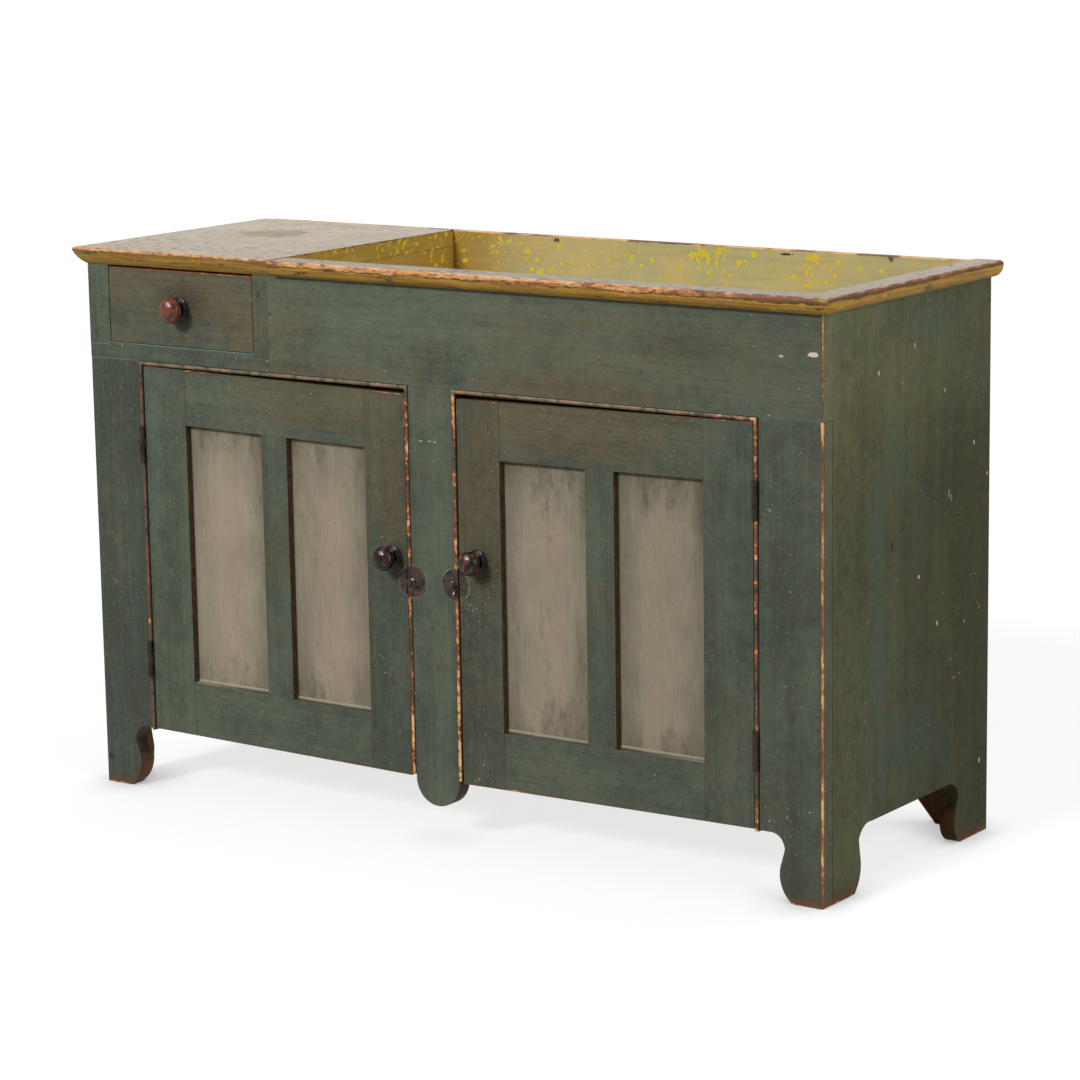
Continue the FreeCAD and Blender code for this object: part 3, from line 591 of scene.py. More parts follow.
def well_paint(node, seed, chips=(), marks=(), worn_to=None, seams=()):
    """Well paint with larger chips, single marks, joint lines and a rubbed upper edge at worn_to.

    Chips and marks are on the well's back. chips lists (x, z, size in mm), marks lists (x, z,
    reach along x and up in mm, colour) and seams lists (plane, width in mm, strength).
    """
    r = Recipe("paint_" + node, seed)
    colour = well_colour(r)
    fray = r.noise(130, 4, 0.65, shift=87)
    patchy = r.noise(10, shift=89)
    for x, z, size in chips:
        spot = r.spot((x, WELL_BACK, z), (size * MM, 1, 0.8 * size * MM))
        colour = r.mix(r.ramp(r.frayed(spot, fray, 2.6), 0.4, 0.46), colour, YELLOW)
    for x, z, wide, high, mark in marks:
        spot = r.spot((x, WELL_BACK, z), (wide * MM, 1, high * MM))
        colour = r.mix(r.ramp(r.frayed(spot, fray, 1.6), 0.3, 0.5), colour, mark)
    for (axis, place), width, strength in seams:
        colour = r.mix(r.times(r.near(axis, place, width * MM), strength), colour, BROWN_DARK)
    if worn_to is not None:
        down = r.minus(worn_to, r.z)
        limit = r.frayed(0.9 * MM, patchy, 2.4 * MM, fray, 3.2 * MM)
        bare = r.ramp(r.minus(limit, down), -0.3 * MM, 0.3 * MM)
        dark = r.mix(r.ramp(fray, 0.42, 0.52), BROWN, CHIP_RED)
        colour = r.mix(bare, colour, r.mix(r.ramp(patchy, 0.5, 0.58), BARE_WOOD, dark))
    dress(node, r.finish(colour, 0.62, r.bump(fray, 0.25, 0.5 * MM)))


# ---- the tops


SPECKED_FROM = -0.23  # the front edge, where dark specks gather


def worn_top(r, grain, dim):
    """Scrubbed, weathered boards, more specked towards the front. dim is how grey they are."""
    streak = r.drawn(grain, 4, 95, 5, 0.65, shift=91, distort=0.3)
    fine = r.drawn(grain, 40, 460, 3, 0.7, shift=92)
    cloud = r.noise(8, 5, 0.62, shift=93)
    blot = r.noise(34, 4, 0.7, shift=94)
    value = r.weigh(cloud, 0.35, streak, 0.15, fine, 0.2, blot, 0.3)
    colour = r.mix(r.ramp(value, 0.4, 0.6), TOP_GREY, TOP_PALE)
    warm = r.noise(11, shift=95)
    colour = r.wash(colour, TOP_WARM, 0.5, warm, 0.48, 0.66)
    colour = r.wash(colour, TOP_STAIN, 0.45, streak, 0.52, 0.7)
    colour = r.mix(dim, colour, RIM_GREY)
    colour = r.wash(colour, TOP_STAIN, 0.5, fine, 0.5, 0.66)
    colour = r.wash(colour, TOP_STAIN, 0.5, blot, 0.53, 0.68)
    scar = r.drawn(grain, 60, 240, 4, 0.75, shift=97)
    closer = r.times(r.ramp(r.minus(r.y, SPECKED_FROM), 0.3, 0), 0.05)
    level = r.frayed(r.total(scar, closer), cloud, 0.35)
    colour = r.wash(colour, BROWN, 0.6, level, 0.57, 0.66)
    return r.wash(colour, BROWN_DARK, 0.8, level, 0.645, 0.72)


def wet_oval(r, colour, stain):
    """The oval that something wet has left, with a darker ring on its near side."""
    away = r.frayed(r.far(*stain), r.noise(26, 4, 0.65, shift=99), 1.6)
    colour = r.wash(colour, TOP_STAIN, 0.55, away, 1.25, 0.55)
    ring = r.times(r.ramp(away, 0.7, 0.92), r.ramp(away, 1.2, 0.96))
    return r.mix(r.times(ring, r.ramp(r.x, -0.52, -0.45), 0.5), colour, BROWN)


def moulded_top(node, seed, grain, reach, stain=None, olive=0.3, ripe=(2, 3), dim=0, gaps=0.5):
    """Weathered on top, mustard on the nosing, rubbed to the wood from the top arris down to reach.

    stain is (centre, reach) of a wet oval. olive greens the mustard, the rubbed band darkens
    between the two x of ripe, dim greys the top, and gaps is how broken the rubbed band is.
    """
    r = Recipe("finish_" + node, seed)
    flat = worn_top(r, grain, dim)
    if stain is not None:
        flat = wet_oval(r, flat, stain)
    line, blotch, other, fray, wavy, patch = (
        r.drawn(grain, along, across, 4, 0.68, shift=shift) for along, across, shift in (
            (9, 240, 101), (26, 90, 103), (20, 70, 105), (46, 150, 107), (15, 1, 109), (11, 30, 111),
        )
    )
    side = r.mix(r.ramp(line, 0.36, 0.66), MUSTARD, MUSTARD_DARK)
    side = r.wash(side, GREEN_PALE, olive, other, 0.48, 0.62)
    side = r.wash(side, MAUVE, r.times(r.ramp(patch, 0.42, 0.58), 0.6), blotch, 0.58, 0.66)
    side = r.wash(side, BROWN_DARK, 0.7, other, 0.58, 0.66)
    side = r.wash(side, ORANGE, r.times(r.ramp(patch, 0.48, 0.6), 0.6), line, 0.56, 0.66)
    side = r.wash(side, YELLOW, 0.6, fray, 0.6, 0.67)

    # the rubbed band: bare wood, red-brown or burnt, with a dark lower border and a cream arris
    down = r.minus(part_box(node)[1].z, r.z)
    below = r.minus(r.frayed(reach, wavy, 1.2 * reach, fray, reach), down)
    old = r.ramp(r.x, *ripe)
    level = r.weigh(line, 0.4, fray, 0.6, old, -0.1)
    reddish = r.mix(r.ramp(r.total(blotch, r.times(old, -0.08)), 0.4, 0.54), CHIP_RED, AMBER)
    wood = r.mix(r.ramp(level, 0.46, 0.6), reddish, BARE_WOOD)
    wood = r.wash(wood, BROWN_DARK, 0.85, r.total(blotch, r.times(old, 0.12)), 0.58, 0.66)
    unbroken = r.ramp(r.frayed(patch, fray, 0.4), gaps - 0.22, gaps - 0.12)
    band = r.times(r.ramp(below, -0.3 * MM, 0.3 * MM), unbroken)
    side = r.mix(r.times(band, 0.92), side, wood)
    dark = r.times(r.ramp(below, -2 * MM, -0.2 * MM), r.ramp(below, 1.6 * MM, 0.2 * MM))
    side = r.mix(r.times(dark, r.ramp(blotch, 0.34, 0.5), 0.45 + 0.6 * dim), side, BROWN_DARK)
    cream = r.times(r.ramp(down, 2.4 * MM, 0.9 * MM), r.ramp(fray, 0.46, 0.56))
    pale = r.mix(dim, BARE_WOOD, TOP_WARM)
    side = r.mix(r.times(cream, r.minus(0.85, r.times(old, 0.4))), side, pale)
    # the lowest part of the nosing is darkened: painted shade along its bottom
    side = r.wash(side, GREEN_DEEP, 0.4, down, 22 * MM, 25 * MM)
    colour = r.mix(r.ramp(r.facing_z, 0.93, 0.985), side, flat)
    if grain == ACROSS:
        chipped = r.frayed(r.ramp(down, 6 * MM, 0), fray, 2.2, blotch, 2.4)
        chip = r.mix(r.ramp(fray, 0.45, 0.55), BROWN_DARK, CHIP_RED)
        edge = r.mix(r.ramp(chipped, 0.9, 1.1), well_colour(r), chip)
        well_side = r.times(r.ramp(r.facing("x"), 0.9, 0.97), r.near("x", WELL_LEFT, 2 * MM))
        colour = r.mix(well_side, colour, edge)
    dress(node, r.finish(colour, 0.62, r.bump(r.weigh(line, 0.5, fray, 0.6), 0.35, 0.6 * MM)))


# ---- panels, beads, knobs and iron


def panel_paint(node, seed, dim):
    """Grey-beige panel: fine upright grain, dark smudges, and a dark border by the frame."""
    r = Recipe("paint_" + node, seed)
    low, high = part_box(node)
    fibre = r.noise((480, 480, 22), 3, 0.65)
    streak = r.noise((110, 110, 9), 4, 0.65, shift=3, distort=0.4)
    cloud = r.noise((16, 16, 11), 5, 0.62, shift=6)
    mottle = r.noise((80, 80, 44), 4, 0.7, shift=7)
    value = r.weigh(cloud, 0.4, streak, 0.3, mottle, 0.3)
    colour = r.mix(r.ramp(value, 0.36, 0.64), PANEL, PANEL_PALE)
    colour = r.wash(colour, PANEL_DARK, 0.34, fibre, 0.5, 0.72)
    colour = r.wash(colour, PANEL_DARK, 0.26, mottle, 0.52, 0.7)
    colour = r.mix(dim, colour, PANEL_DARK)

    # warmer in the middle, darker and smeared towards the frame
    upper = r.ramp(r.z, high.z - 110 * MM, high.z - 10 * MM)
    lower = r.ramp(r.z, low.z + 90 * MM, low.z + 10 * MM)
    smear = r.noise((30, 30, 7), 4, shift=8)
    from_sides = r.minus(r.x, low.x), r.minus(high.x, r.x)
    inner = r.times(*(r.ramp(distance, 0, 70 * MM) for distance in from_sides))
    warm = r.total(r.frayed(inner, cloud, 1.2), r.times(upper, -0.6))
    colour = r.wash(colour, PANEL_WARM, 0.42, warm, 0.35, 1.15)
    outside = r.total(r.frayed(r.minus(1, inner), smear, 1.6), r.weigh(upper, 0.25, lower, 0.25))
    colour = r.wash(colour, PANEL_DARK, 0.34, outside, 0.3, 1.2)
    dirty = r.weigh(cloud, 0.3, smear, 0.4, mottle, 0.3, upper, 0.13, lower, 0.11)
    colour = r.wash(colour, PANEL_DARK, 0.7, dirty, 0.54, 0.72)

    # a dark border just inside the frame's sight line, and dust on the ledge
    sight = 7 * MM
    border = r.most(
        r.near("x", low.x + sight, 4.5 * MM), r.near("x", high.x - sight, 3 * MM),
        r.near("z", low.z + sight, 2.5 * MM), r.near("z", high.z - sight, 3.5 * MM),
    )
    colour = r.wash(colour, BROWN_MID, 0.75, r.frayed(border, mottle, 0.9), 0.15, 0.8)
    ledge = r.frayed(r.near("z", low.z + sight + 4 * MM, 3 * MM), mottle, 0.6)
    colour = r.wash(colour, TOP_GREY, 0.75, ledge, 0.3, 0.6)
    # paler near the top and darker to the right: painted light and shade
    colour = flecks(r, painted_light_and_shade(r, colour), 0.4)
    normal = r.bump(r.weigh(fibre, 0.6, streak, 0.6), 0.28, 0.4 * MM)
    dress(node, r.finish(colour, 0.6, normal, specular=0.22))


def bead_finish(node, seed):
    """The bead round the doors: reddish-brown, rubbed to the wood, most beside the latches."""
    r = Recipe("paint_" + node, seed)
    fray = r.noise(150, 4, 0.7)
    along = r.noise(34, 4, 0.65, shift=3)
    patchy = r.noise(7, shift=5)
    over = r.ramp(r.z, DOOR_TOP, DOOR_TOP + 3 * MM)
    brown, red = r.mix(over, BROWN_MID, BROWN), r.mix(over, CHIP_RED, BEAD_BROWN)
    colour = r.mix(r.ramp(along, 0.38, 0.6), brown, red)
    colour = r.wash(colour, BROWN, 0.5, fray, 0.52, 0.66)
    beside_right = r.near("x", disc_right[0].x + 12 * MM, 22 * MM)
    beside_left = r.near("x", disc_left[0].x - 12 * MM, 22 * MM)
    low = r.ramp(r.z, 0.32, 0.12)
    far_left = r.ramp(r.x, -0.4, -0.5)
    corner = r.minus(r.times(r.ramp(r.x, 0.2, 0.4), 0.14), 0.09)
    level = r.total(
        r.frayed(r.weigh(along, 0.55, patchy, 0.45), fray, 0.55),
        r.weigh(beside_right, 0.13, beside_left, 0.06, low, 0.02, far_left, -0.05, over, corner),
    )
    colour = r.wash(colour, ORANGE, 0.9, level, 0.555, 0.585)
    colour = r.mix(r.ramp(level, 0.58, 0.61), colour, AMBER)
    colour = r.mix(r.ramp(level, 0.62, 0.65), colour, BARE_WOOD)
    colour = r.wash(colour, GRIME_AND_SHADE, 0.8, r.noise(80, shift=9), 0.53, 0.6)
    # the bead's flanks close to the face are painted dark: painted shade beside the bead
    edge = r.mix(r.ramp(along, 0.45, 0.6), GRIME_AND_SHADE, BROWN_DARK)
    out = r.ramp(r.minus(FRONT, r.y), 1.2 * MM, 2.7 * MM)
    colour = r.mix(r.ramp(r.frayed(out, fray, 0.5), 0.6, 0.3), colour, edge)
    dress(node, r.finish(colour, 0.55, r.bump(fray, 0.4, 0.5 * MM), specular=0.3))


def knob_finish(name, seed, red, centre):
    """Dark worn varnish on the foot, with reddish wood showing in patches on the head."""
    r = Recipe(name, seed)
    streak = r.noise((60, 60, 30), 4, 0.65, distort=1.5)
    cloud = r.noise(140, shift=5)
    amount = r.weigh(streak, 0.6, cloud, 0.4)
    head = r.ramp(r.minus(r.y, centre.y), 4 * MM, -1 * MM)
    patch = r.times(r.ramp(amount, 0.58 - 0.26 * red, 0.78 - 0.26 * red), head)
    colour = r.mix(r.ramp(cloud, 0.35, 0.65), KNOB_DARK, KNOB_BROWN)
    colour = r.mix(patch, r.mix(head, KNOB_DARK, colour), KNOB_RED)
    return r.finish(colour, 0.2, r.bump(streak, 0.12, 0.3 * MM), specular=0.22)


def iron_finish(name, seed, centre=None, radius=None, worn=0.3, tint=IRON, gap=None, glints=()):
    """Brown iron. A round plate is rubbed paler round its rim; gap is where a dark joint crosses it.

    glints lists (centre, radius) where the metal is rubbed bright; these spots also carry a painted
    highlight.
    """
    r = Recipe(name, seed)
    grit = r.noise(260, 4, 0.65)
    cloud = r.noise(60, shift=4)
    colour = r.mix(r.ramp(cloud, 0.35, 0.65), IRON_DARK, tint)
    colour = r.wash(colour, IRON_RUST, 0.4, r.noise(110, shift=8), 0.54, 0.66)
    if centre is not None:
        away = r.far(centre, (radius, 1, radius))
        rim = r.frayed(r.ramp(away, 0.88, 0.98), cloud, 1.2)
        colour = r.wash(colour, IRON_WORN, 0.4, rim, 0.4, 1)
    colour = r.wash(colour, IRON_WORN, worn, grit, 0.52, 0.7)
    if gap is not None:
        colour = r.mix(r.near("x", gap, 1.6 * MM), colour, GRIME_AND_SHADE)
    shine = 0
    for place, reach in glints:
        glint = r.frayed(r.spot(place, (reach, 1, reach)), grit, 0.8)
        shine = r.most(shine, r.ramp(glint, 0.3, 0.6))
    colour = r.mix(shine, colour, IRON_BRIGHT)
    roughness = r.total(0.4, r.times(grit, 0.25))
    normal = r.bump(grit, 0.3, 0.2 * MM)
    return r.finish(colour, roughness, normal, metallic=r.times(shine, 0.6), specular=0.2)


# ---- dressing the case and the drawer


def latch_disc(side):
    """Middle and radius of a round latch, from its D plate."""
    low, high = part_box(f"latch_plate_{side}")
    radius = (high.z - low.z) / 2
    x = high.x - radius if side == "left" else low.x + radius
    return Vector((x, FRONT, (low.z + high.z) / 2)), radius


disc_left = latch_disc("left")
disc_right = latch_disc("right")
PINE_INSIDE = ("y", 1, 0, "pine")  # for faces that look to the back
RAIL_LINE = ("z", 0.659)  # a line of the older coat along the drawer rail

old_paint(
    "stile_left", 1, tone=0.41, brown=0.25, rim=0.35, sawn=True, edges=[("z0", "y0", 2, 0.8)],
    seams=[(plane("drawer_rail", "z0"), 1.6, TEAL_PALE, 0.5)],
    marks=[(-0.6276, 0.04, 11, 9, BROWN_DARK, 1.4)],
)
old_paint(
    "stile_right", 2, tone=0.47, brown=0.32, teal=0.3, rim=0.3, bright=0.8, sawn=True,
    edges=[("x1", "y0", 1.8, 1.25), ("z0", "y0", 2, 0.7)],
)
old_paint(
    "stile_center", 3, tone=0.55, brown=0.34, teal=0.45, rim=0.5, sawn=True,
    seams=[(plane("stile_center", "z1"), 1.4, BROWN_DARK, 0.8)], rings=[disc_left, disc_right],
    marks=[
        (-0.021, 0.5808, 6, 1.6, FLECK, 1.2), (-0.006, 0.5816, 5, 1.4, FLECK, 1.2),
        (0.004, 0.5812, 4, 1.6, FLECK, 1.2),
    ],
)
old_paint(
    "apron_board", 4, ACROSS, tone=0.54, brown=0.38, teal=0.25, edges=[("x1", "y0", 1.2, 0.7)],
    seams=[(plane("apron_board", "z1"), 3, TEAL, 0.8), (plane("apron_board", "z0"), 2, TEAL, 0.5)],
    marks=[
        (0.618, 0.7467, 13, 6, TOP_PALE, 1.6), (0.57, 0.742, 7, 3, FLECK, 1.8),
        (-0.288, 0.745, 5, 4, BROWN_DARK, 1.5),
    ],
    inside=("y", 1, WELL_FLOOR, "well"),
)
old_paint(
    "drawer_rail", 5, ACROSS, brown=0.35, teal=0.5, rim=0.3,
    seams=[(plane("drawer_rail", "z1"), 2, TEAL_PALE, 0.7), (RAIL_LINE, 1.5, TEAL, 0.6)],
)
old_paint(
    "stile_upper_left", 6, tone=0.46, brown=0.2,
    seams=[(plane("stile_upper_left", "z0"), 2, TEAL_PALE, 0.7)],
)
old_paint(
    "drawer_divider", 7, brown=0.35, teal=0.5,
    marks=[(-0.3085, 0.771, 2.2, 10, GRIME_AND_SHADE, 0.6), (-0.314, 0.757, 6, 2.5, CHIP_RED, 1.2)],
)
knob = middle("drawer_knob")
old_paint(
    "drawer_front", 8, ACROSS, tone=0.47, brown=0.85, teal=0.05, rim=0.4, bright=0,
    edges=[("z1", "y0", 1.8, 1), ("x1", "y0", 1.2, 0.4)],
    seams=[(plane("drawer_front", "z0"), 2, TEAL_PALE, 0.6)],
    marks=[
        (-0.548, 0.69, 14, 3, CHIP_RED, 1.2), (-0.37, 0.708, 10, 2.5, CHIP_RED, 1.6),
        (-0.535, 0.716, 4, 4, CHIP_RED, 1.4),
    ],
    # grime round the drawer knob, and a painted shadow of the knob just under it
    smudges_and_shadows=[
        (knob + Vector((0.005, 0, 0.012)), (0.085, 1, 0.05), 0.65),
        (knob + Vector((0.006, 0, -0.017)), (0.026, 1, 0.026), 0.9),
    ],
    inside=PINE_INSIDE,
)

END_LOOK = {
    "face": "x", "tone": 0.51, "brown": 0.4, "teal": 0.15, "rim": 0.55, "sawn": True,
    "rub": (OLIVE_DARK, OLIVE), "texture": 0.85, "gloss": 0.1,
}
# Small marks on the right end: y, z, reach along y and along z in mm, colour.
END_MARKS = (
    (0.2024, 0.5724, 4, 7, FLECK), (0.13, 0.511, 3, 13, TEAL_PALE), (0.137, 0.505, 3, 11, TEAL_PALE),
    (0.2422, 0.5222, 3, 6, BARE_WOOD), (0.2308, 0.4896, 2.4, 20, CHIP_RED), (0.0976, 0.333, 5, 7, FLECK),
    (0.1769, 0.3207, 3, 5, FLECK), (0.2216, 0.3325, 4, 7, ORANGE), (0.148, 0.245, 6, 4, ORANGE),
    (0.164, 0.2485, 5, 3, ORANGE), (0.2257, 0.1077, 4, 8, FLECK), (-0.0487, 0.2453, 10, 3, CHIP_RED),
    (0.0305, 0.7306, 3, 8, FLECK), (0.1163, 0.6576, 3, 7, FLECK), (-0.068, 0.705, 5, 8, FLECK),
    (0.045, 0.408, 6, 6, BARE_WOOD), (-0.1159, 0.6447, 5, 7, CHIP_RED), (-0.0309, 0.4642, 4.5, 13, GRIME_AND_SHADE),
    (-0.0335, 0.4398, 6, 6, BROWN_MID),
)
END_MARK_SIZE = 0.85
END_MARK_RAGGED = 1.2
old_paint(
    "end_right", 9, edges=[("z0", "x1", 2, 0.8), ("y1", "x1", 1.2, 0.3)],
    seams=[
        (("y", 0), 0.9, TEAL_PALE, 0.4), (("y", 0.1), 0.8, TEAL_PALE, 0.35),
        (("z", CASE_TOP), 5, TEAL, 0.7),
    ],
    marks=[
        (y, z, END_MARK_SIZE * wide, END_MARK_SIZE * high, colour, END_MARK_RAGGED)
        for y, z, wide, high, colour in END_MARKS
    ],
    inside=("x", -1, WELL_FLOOR, "well"), **END_LOOK,
)
old_paint(
    "end_left", 10, edges=[("z0", "x0", 2, 0.8), ("y1", "x0", 1.2, 0.3)],
    inside=("x", 1, WELL_FLOOR, "pine"), **END_LOOK,
)

# ---- dressing the doors

# Side, latch, hinge side, latch side, first seed, tone, and how dim the outer and inner panels are.
DOORS = (
    ("left", disc_left, "x0", "x1", 20, 0.52, 0.02, 0.04),
    ("right", disc_right, "x1", "x0", 30, 0.505, 0.16, 0.06),
)
INNER_TONE = -0.04  # how much darker the lock stile and the muntin are
TOP_ARRIS = ("z1", "y0", 1.5, 0.8)
FOOT_ARRIS = ("z0", "y0", 1.4, 0.7)
for side, disc, outer, inner, seed, tone, outer_dim, inner_dim in DOORS:
    prefix = f"door_{side}_"
    hinge, lock = prefix + "hinge_stile", prefix + "lock_stile"
    knob = middle(prefix + "knob")
    joints = [(plane(hinge, inner), 1.3, GRIME_AND_SHADE, 0.8), (plane(lock, outer), 1.3, GRIME_AND_SHADE, 0.8)]
    look = {"inside": PINE_INSIDE, "bright": 0}
    old_paint(
        hinge, seed, tone=tone, brown=0.22, rim=0.3, edges=[TOP_ARRIS, FOOT_ARRIS],
        lips=[(inner, BROWN_DARK)], **look,
    )
    old_paint(
        lock, seed + 1, tone=tone + INNER_TONE, brown=0.4, teal=0.3, rim=0.5, rings=[disc],
        edges=[TOP_ARRIS, FOOT_ARRIS, (inner, "y0", 1.2, 0.3)], lips=[(outer, BROWN_DARK)],
        # grime round the knob, darker below and to its right as a painted shadow of the knob, and a
        # painted shadow just under it
        smudges_and_shadows=[
            (knob + Vector((0.012, 0, -0.012)), (0.052, 1, 0.06), 0.6),
            (knob + Vector((0.007, 0, -0.019)), (0.028, 1, 0.03), 0.95),
        ],
        **look,
    )
    old_paint(
        prefix + "top_rail", seed + 2, ACROSS, tone=tone, brown=0.4, teal=0.2, rim=0.5,
        edges=[TOP_ARRIS], seams=joints, lips=[("z0", BROWN_DARK)], **look,
    )
    old_paint(
        prefix + "bottom_rail", seed + 3, ACROSS, tone=tone, brown=0.28, rim=0.8,
        edges=[("z0", "y0", 1.8, 1)], seams=joints, lips=[("z1", PANEL_PALE)], **look,
    )
    old_paint(
        prefix + "muntin", seed + 4, tone=tone + INNER_TONE, rim=0.6,
        lips=[("x0", BROWN_DARK), ("x1", BROWN_DARK)], **look,
    )
    panel_paint(prefix + "panel_outer", seed + 5, outer_dim)
    panel_paint(prefix + "panel_inner", seed + 6, inner_dim)

bead_finish("opening_beads", 90)

# ---- dressing the tops and the well

slab_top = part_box("top_slab")[1].z
moulded_top(
    "top_slab", 50, ACROSS, 4.2 * MM, stain=((-0.5, 0.048, slab_top), (0.055, 0.048, 1)),
    olive=0.45, gaps=0.6,
)
moulded_top("rim_front", 51, ACROSS, 8.5 * MM, olive=0.08, dim=0.65, ripe=(0.3, 0.62))
moulded_top("rim_right", 52, BACK, 5.5 * MM, olive=0.12, dim=0.5, ripe=(0, 0.4), gaps=0.42)

BACK_CHIPS = (
    (-0.1379, 0.7992, 10), (-0.2546, 0.7778, 8), (-0.1197, 0.788, 8), (-0.1292, 0.7723, 7),
    (-0.1127, 0.7671, 11), (-0.1516, 0.7634, 7), (0.0683, 0.7875, 7), (0.0879, 0.796, 8),
    (0.1562, 0.8084, 12), (0.1995, 0.8136, 6), (0.2644, 0.8141, 11), (0.3649, 0.815, 13),
    (0.4045, 0.8114, 8), (0.3299, 0.7857, 9), (0.3533, 0.7928, 6), (-0.0771, 0.8083, 8),
    (-0.033, 0.806, 5), (0.442, 0.806, 6), (0.476, 0.803, 7),
)
well_paint(
    "well_back", 60, chips=BACK_CHIPS, worn_to=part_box("well_back")[1].z,
    marks=[
        (-0.0824, 0.8186, 9, 6, CHIP_RED), (0.4907, 0.82, 8, 7, BROWN),
        (0.318, 0.818, 20, 3, GREEN_DEEP),
    ],
    seams=[(("x", WELL_LEFT), 1.5, 0.9)],
)
well_paint("well_floor", 61)
well_paint("well_side_left", 62, seams=[(("z", CASE_TOP), 1.6, 0.7), (("y", WELL_BACK), 1.5, 0.9)])

for seed, (node, grain) in enumerate((
    ("bottom_board", ACROSS), ("shelf", ACROSS), ("well_cleats", ACROSS),
    ("drawer_runners", BACK), ("drawer_side_left", BACK), ("drawer_side_right", BACK),
    ("drawer_back", ACROSS), ("drawer_bottom", ACROSS), ("foot_blocks", UP),
    ("back_board_1", UP), ("back_board_2", UP), ("back_board_3", UP),
    ("back_board_4", UP),
), start=70):
    bare_pine(node, seed, grain)

# ---- dressing the iron


def lever_pivot(side, disc):
    """Where a latch lever turns."""
    return Vector((middle(f"latch_lever_{side}").x, FRONT, disc[0].z + 4 * MM))


pivot_left = lever_pivot("left", disc_left)
pivot_right = lever_pivot("right", disc_right)
left_glints = [(pivot_left, 3.6 * MM)]
right_glints = [(pivot_right, 2.8 * MM), (pivot_right + Vector((0.004, 0, -0.015)), 2.8 * MM)]
for material, names in (
    (iron_finish("iron_latch_left", 95, *disc_left, gap=plane("latch_plate_left", "x0")[1]),
     ("latch_plate_left", "latch_keeper_left")),
    (iron_finish("iron_latch_right", 96, *disc_right, gap=plane("latch_plate_right", "x1")[1]),
     ("latch_plate_right", "latch_keeper_right")),
    (iron_finish("iron_lever_left", 97, tint=IRON_RUST, glints=left_glints), ("latch_lever_left",)),
    (iron_finish("iron_lever_right", 100, tint=IRON_RUST, glints=right_glints), ("latch_lever_right",)),
    (iron_finish("iron_hinge", 98, worn=0.06, tint=BROWN_DARK),
     ("hinge_leaves_case", "hinge_leaves_door_left", "hinge_leaves_door_right", "hinge_pins")),
):
    for name in names:
        dress(name, material)

door_boards = [name for name in nodes if name.startswith("door_") and "knob" not in name]
EASE_WIDTHS = {
    1.4 * MM: ("end_left", "end_right", "stile_left", "stile_right", "stile_center", "drawer_front"),
    0.6 * MM: (
        "apron_board", "stile_upper_left", "drawer_divider", "drawer_rail", "well_back", *door_boards,
    ),
}
for width, names in EASE_WIDTHS.items():
    for name in names:
        soften(name, width)

# ---- turned knobs and screws

TURN_STEPS = 64
ROUND_STEPS = 8
BALL_STEPS = 28


def new_piece(name, shape, material, body, smooth=True):
    """Makes an object from a bmesh and lets it ride on a body."""
    mesh = bpy.data.meshes.new(name)
    bmesh.ops.recalc_face_normals(shape, faces=shape.faces)
    shape.to_mesh(mesh)
    shape.free()
    for polygon in mesh.polygons:
        polygon.use_smooth = smooth
    mesh.materials.append(material)
    piece = bpy.data.objects.new(name, mesh)
    bpy.context.scene.collection.objects.link(piece)
    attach(piece, body)
    return piece


def lathe(outline, centre):
    """A bmesh turned about -Y from (radius, out) points."""
    shape = bmesh.new()
    rings = []
    for radius, out in outline:
        steps = TURN_STEPS if radius > 0 else 1
        angles = [2 * math.pi * step / steps for step in range(steps)]
        rings.append([
            shape.verts.new(centre + Vector((radius * math.cos(a), -out, radius * math.sin(a))))
            for a in angles
        ])
    for first, second in zip(rings, rings[1:]):
        for step in range(TURN_STEPS):
            after = (step + 1) % TURN_STEPS
            corners = [ring[index % len(ring)] for ring, index in (
                (first, step), (first, after), (second, after), (second, step),
            )]
            shape.faces.new(list(dict.fromkeys(corners)))
    return shape


def half_round(radius, out, size):
    """Points of a half round whose widest point is at (radius, out)."""
    angles = [math.pi * (step / ROUND_STEPS - 0.5) for step in range(ROUND_STEPS + 1)]
    return [(radius - size + size * math.cos(a), out + size * math.sin(a)) for a in angles]


def knob_outline(reach, head, depth):
    """Stepped foot, coved neck and flattened ball of a knob, as (radius, out) points."""
    foot, foot_round = 0.93 * head, 1.8 * MM
    step, step_round, step_out = 0.72 * head, 1.4 * MM, 5.1 * MM
    neck, cove, cove_from, cove_to = 7 * MM, 1.2 * MM, 7.2 * MM, 8.8 * MM
    points = [(0, 0), (foot - foot_round / 3, 0)]
    points += half_round(foot, foot_round, foot_round)
    points += half_round(step, step_out, step_round)
    points += [(neck + cove, cove_from), (neck, cove_to)]
    half = depth / 2
    ball = math.pi - math.asin(neck / head)
    for number in range(BALL_STEPS):
        angle = ball * (1 - number / BALL_STEPS)
        points.append((head * math.sin(angle), reach - half + half * math.cos(angle)))
    return points + [(0, reach)]


# Side, CAD node, seed, how red the wood is, body and depth of the ball.
KNOBS = (
    ("left", "door_left_knob", 114, 0.35, "left_door", 24 * MM),
    ("right", "door_right_knob", 115, 0.55, "right_door", 24 * MM),
    ("drawer", "drawer_knob", 116, 0.85, "drawer", 25 * MM),
)
for side, node, seed, red, body, depth in KNOBS:
    low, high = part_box(node)
    centre = middle(node)
    finish = knob_finish(f"finish_knob_{side}", seed, red, centre)
    outline = knob_outline(high.y - low.y, (high.x - low.x) / 2, depth)
    foot = Vector((centre.x, high.y, centre.z))
    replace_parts(new_piece(f"turned_knob_{side}", lathe(outline, foot), finish, body), node)


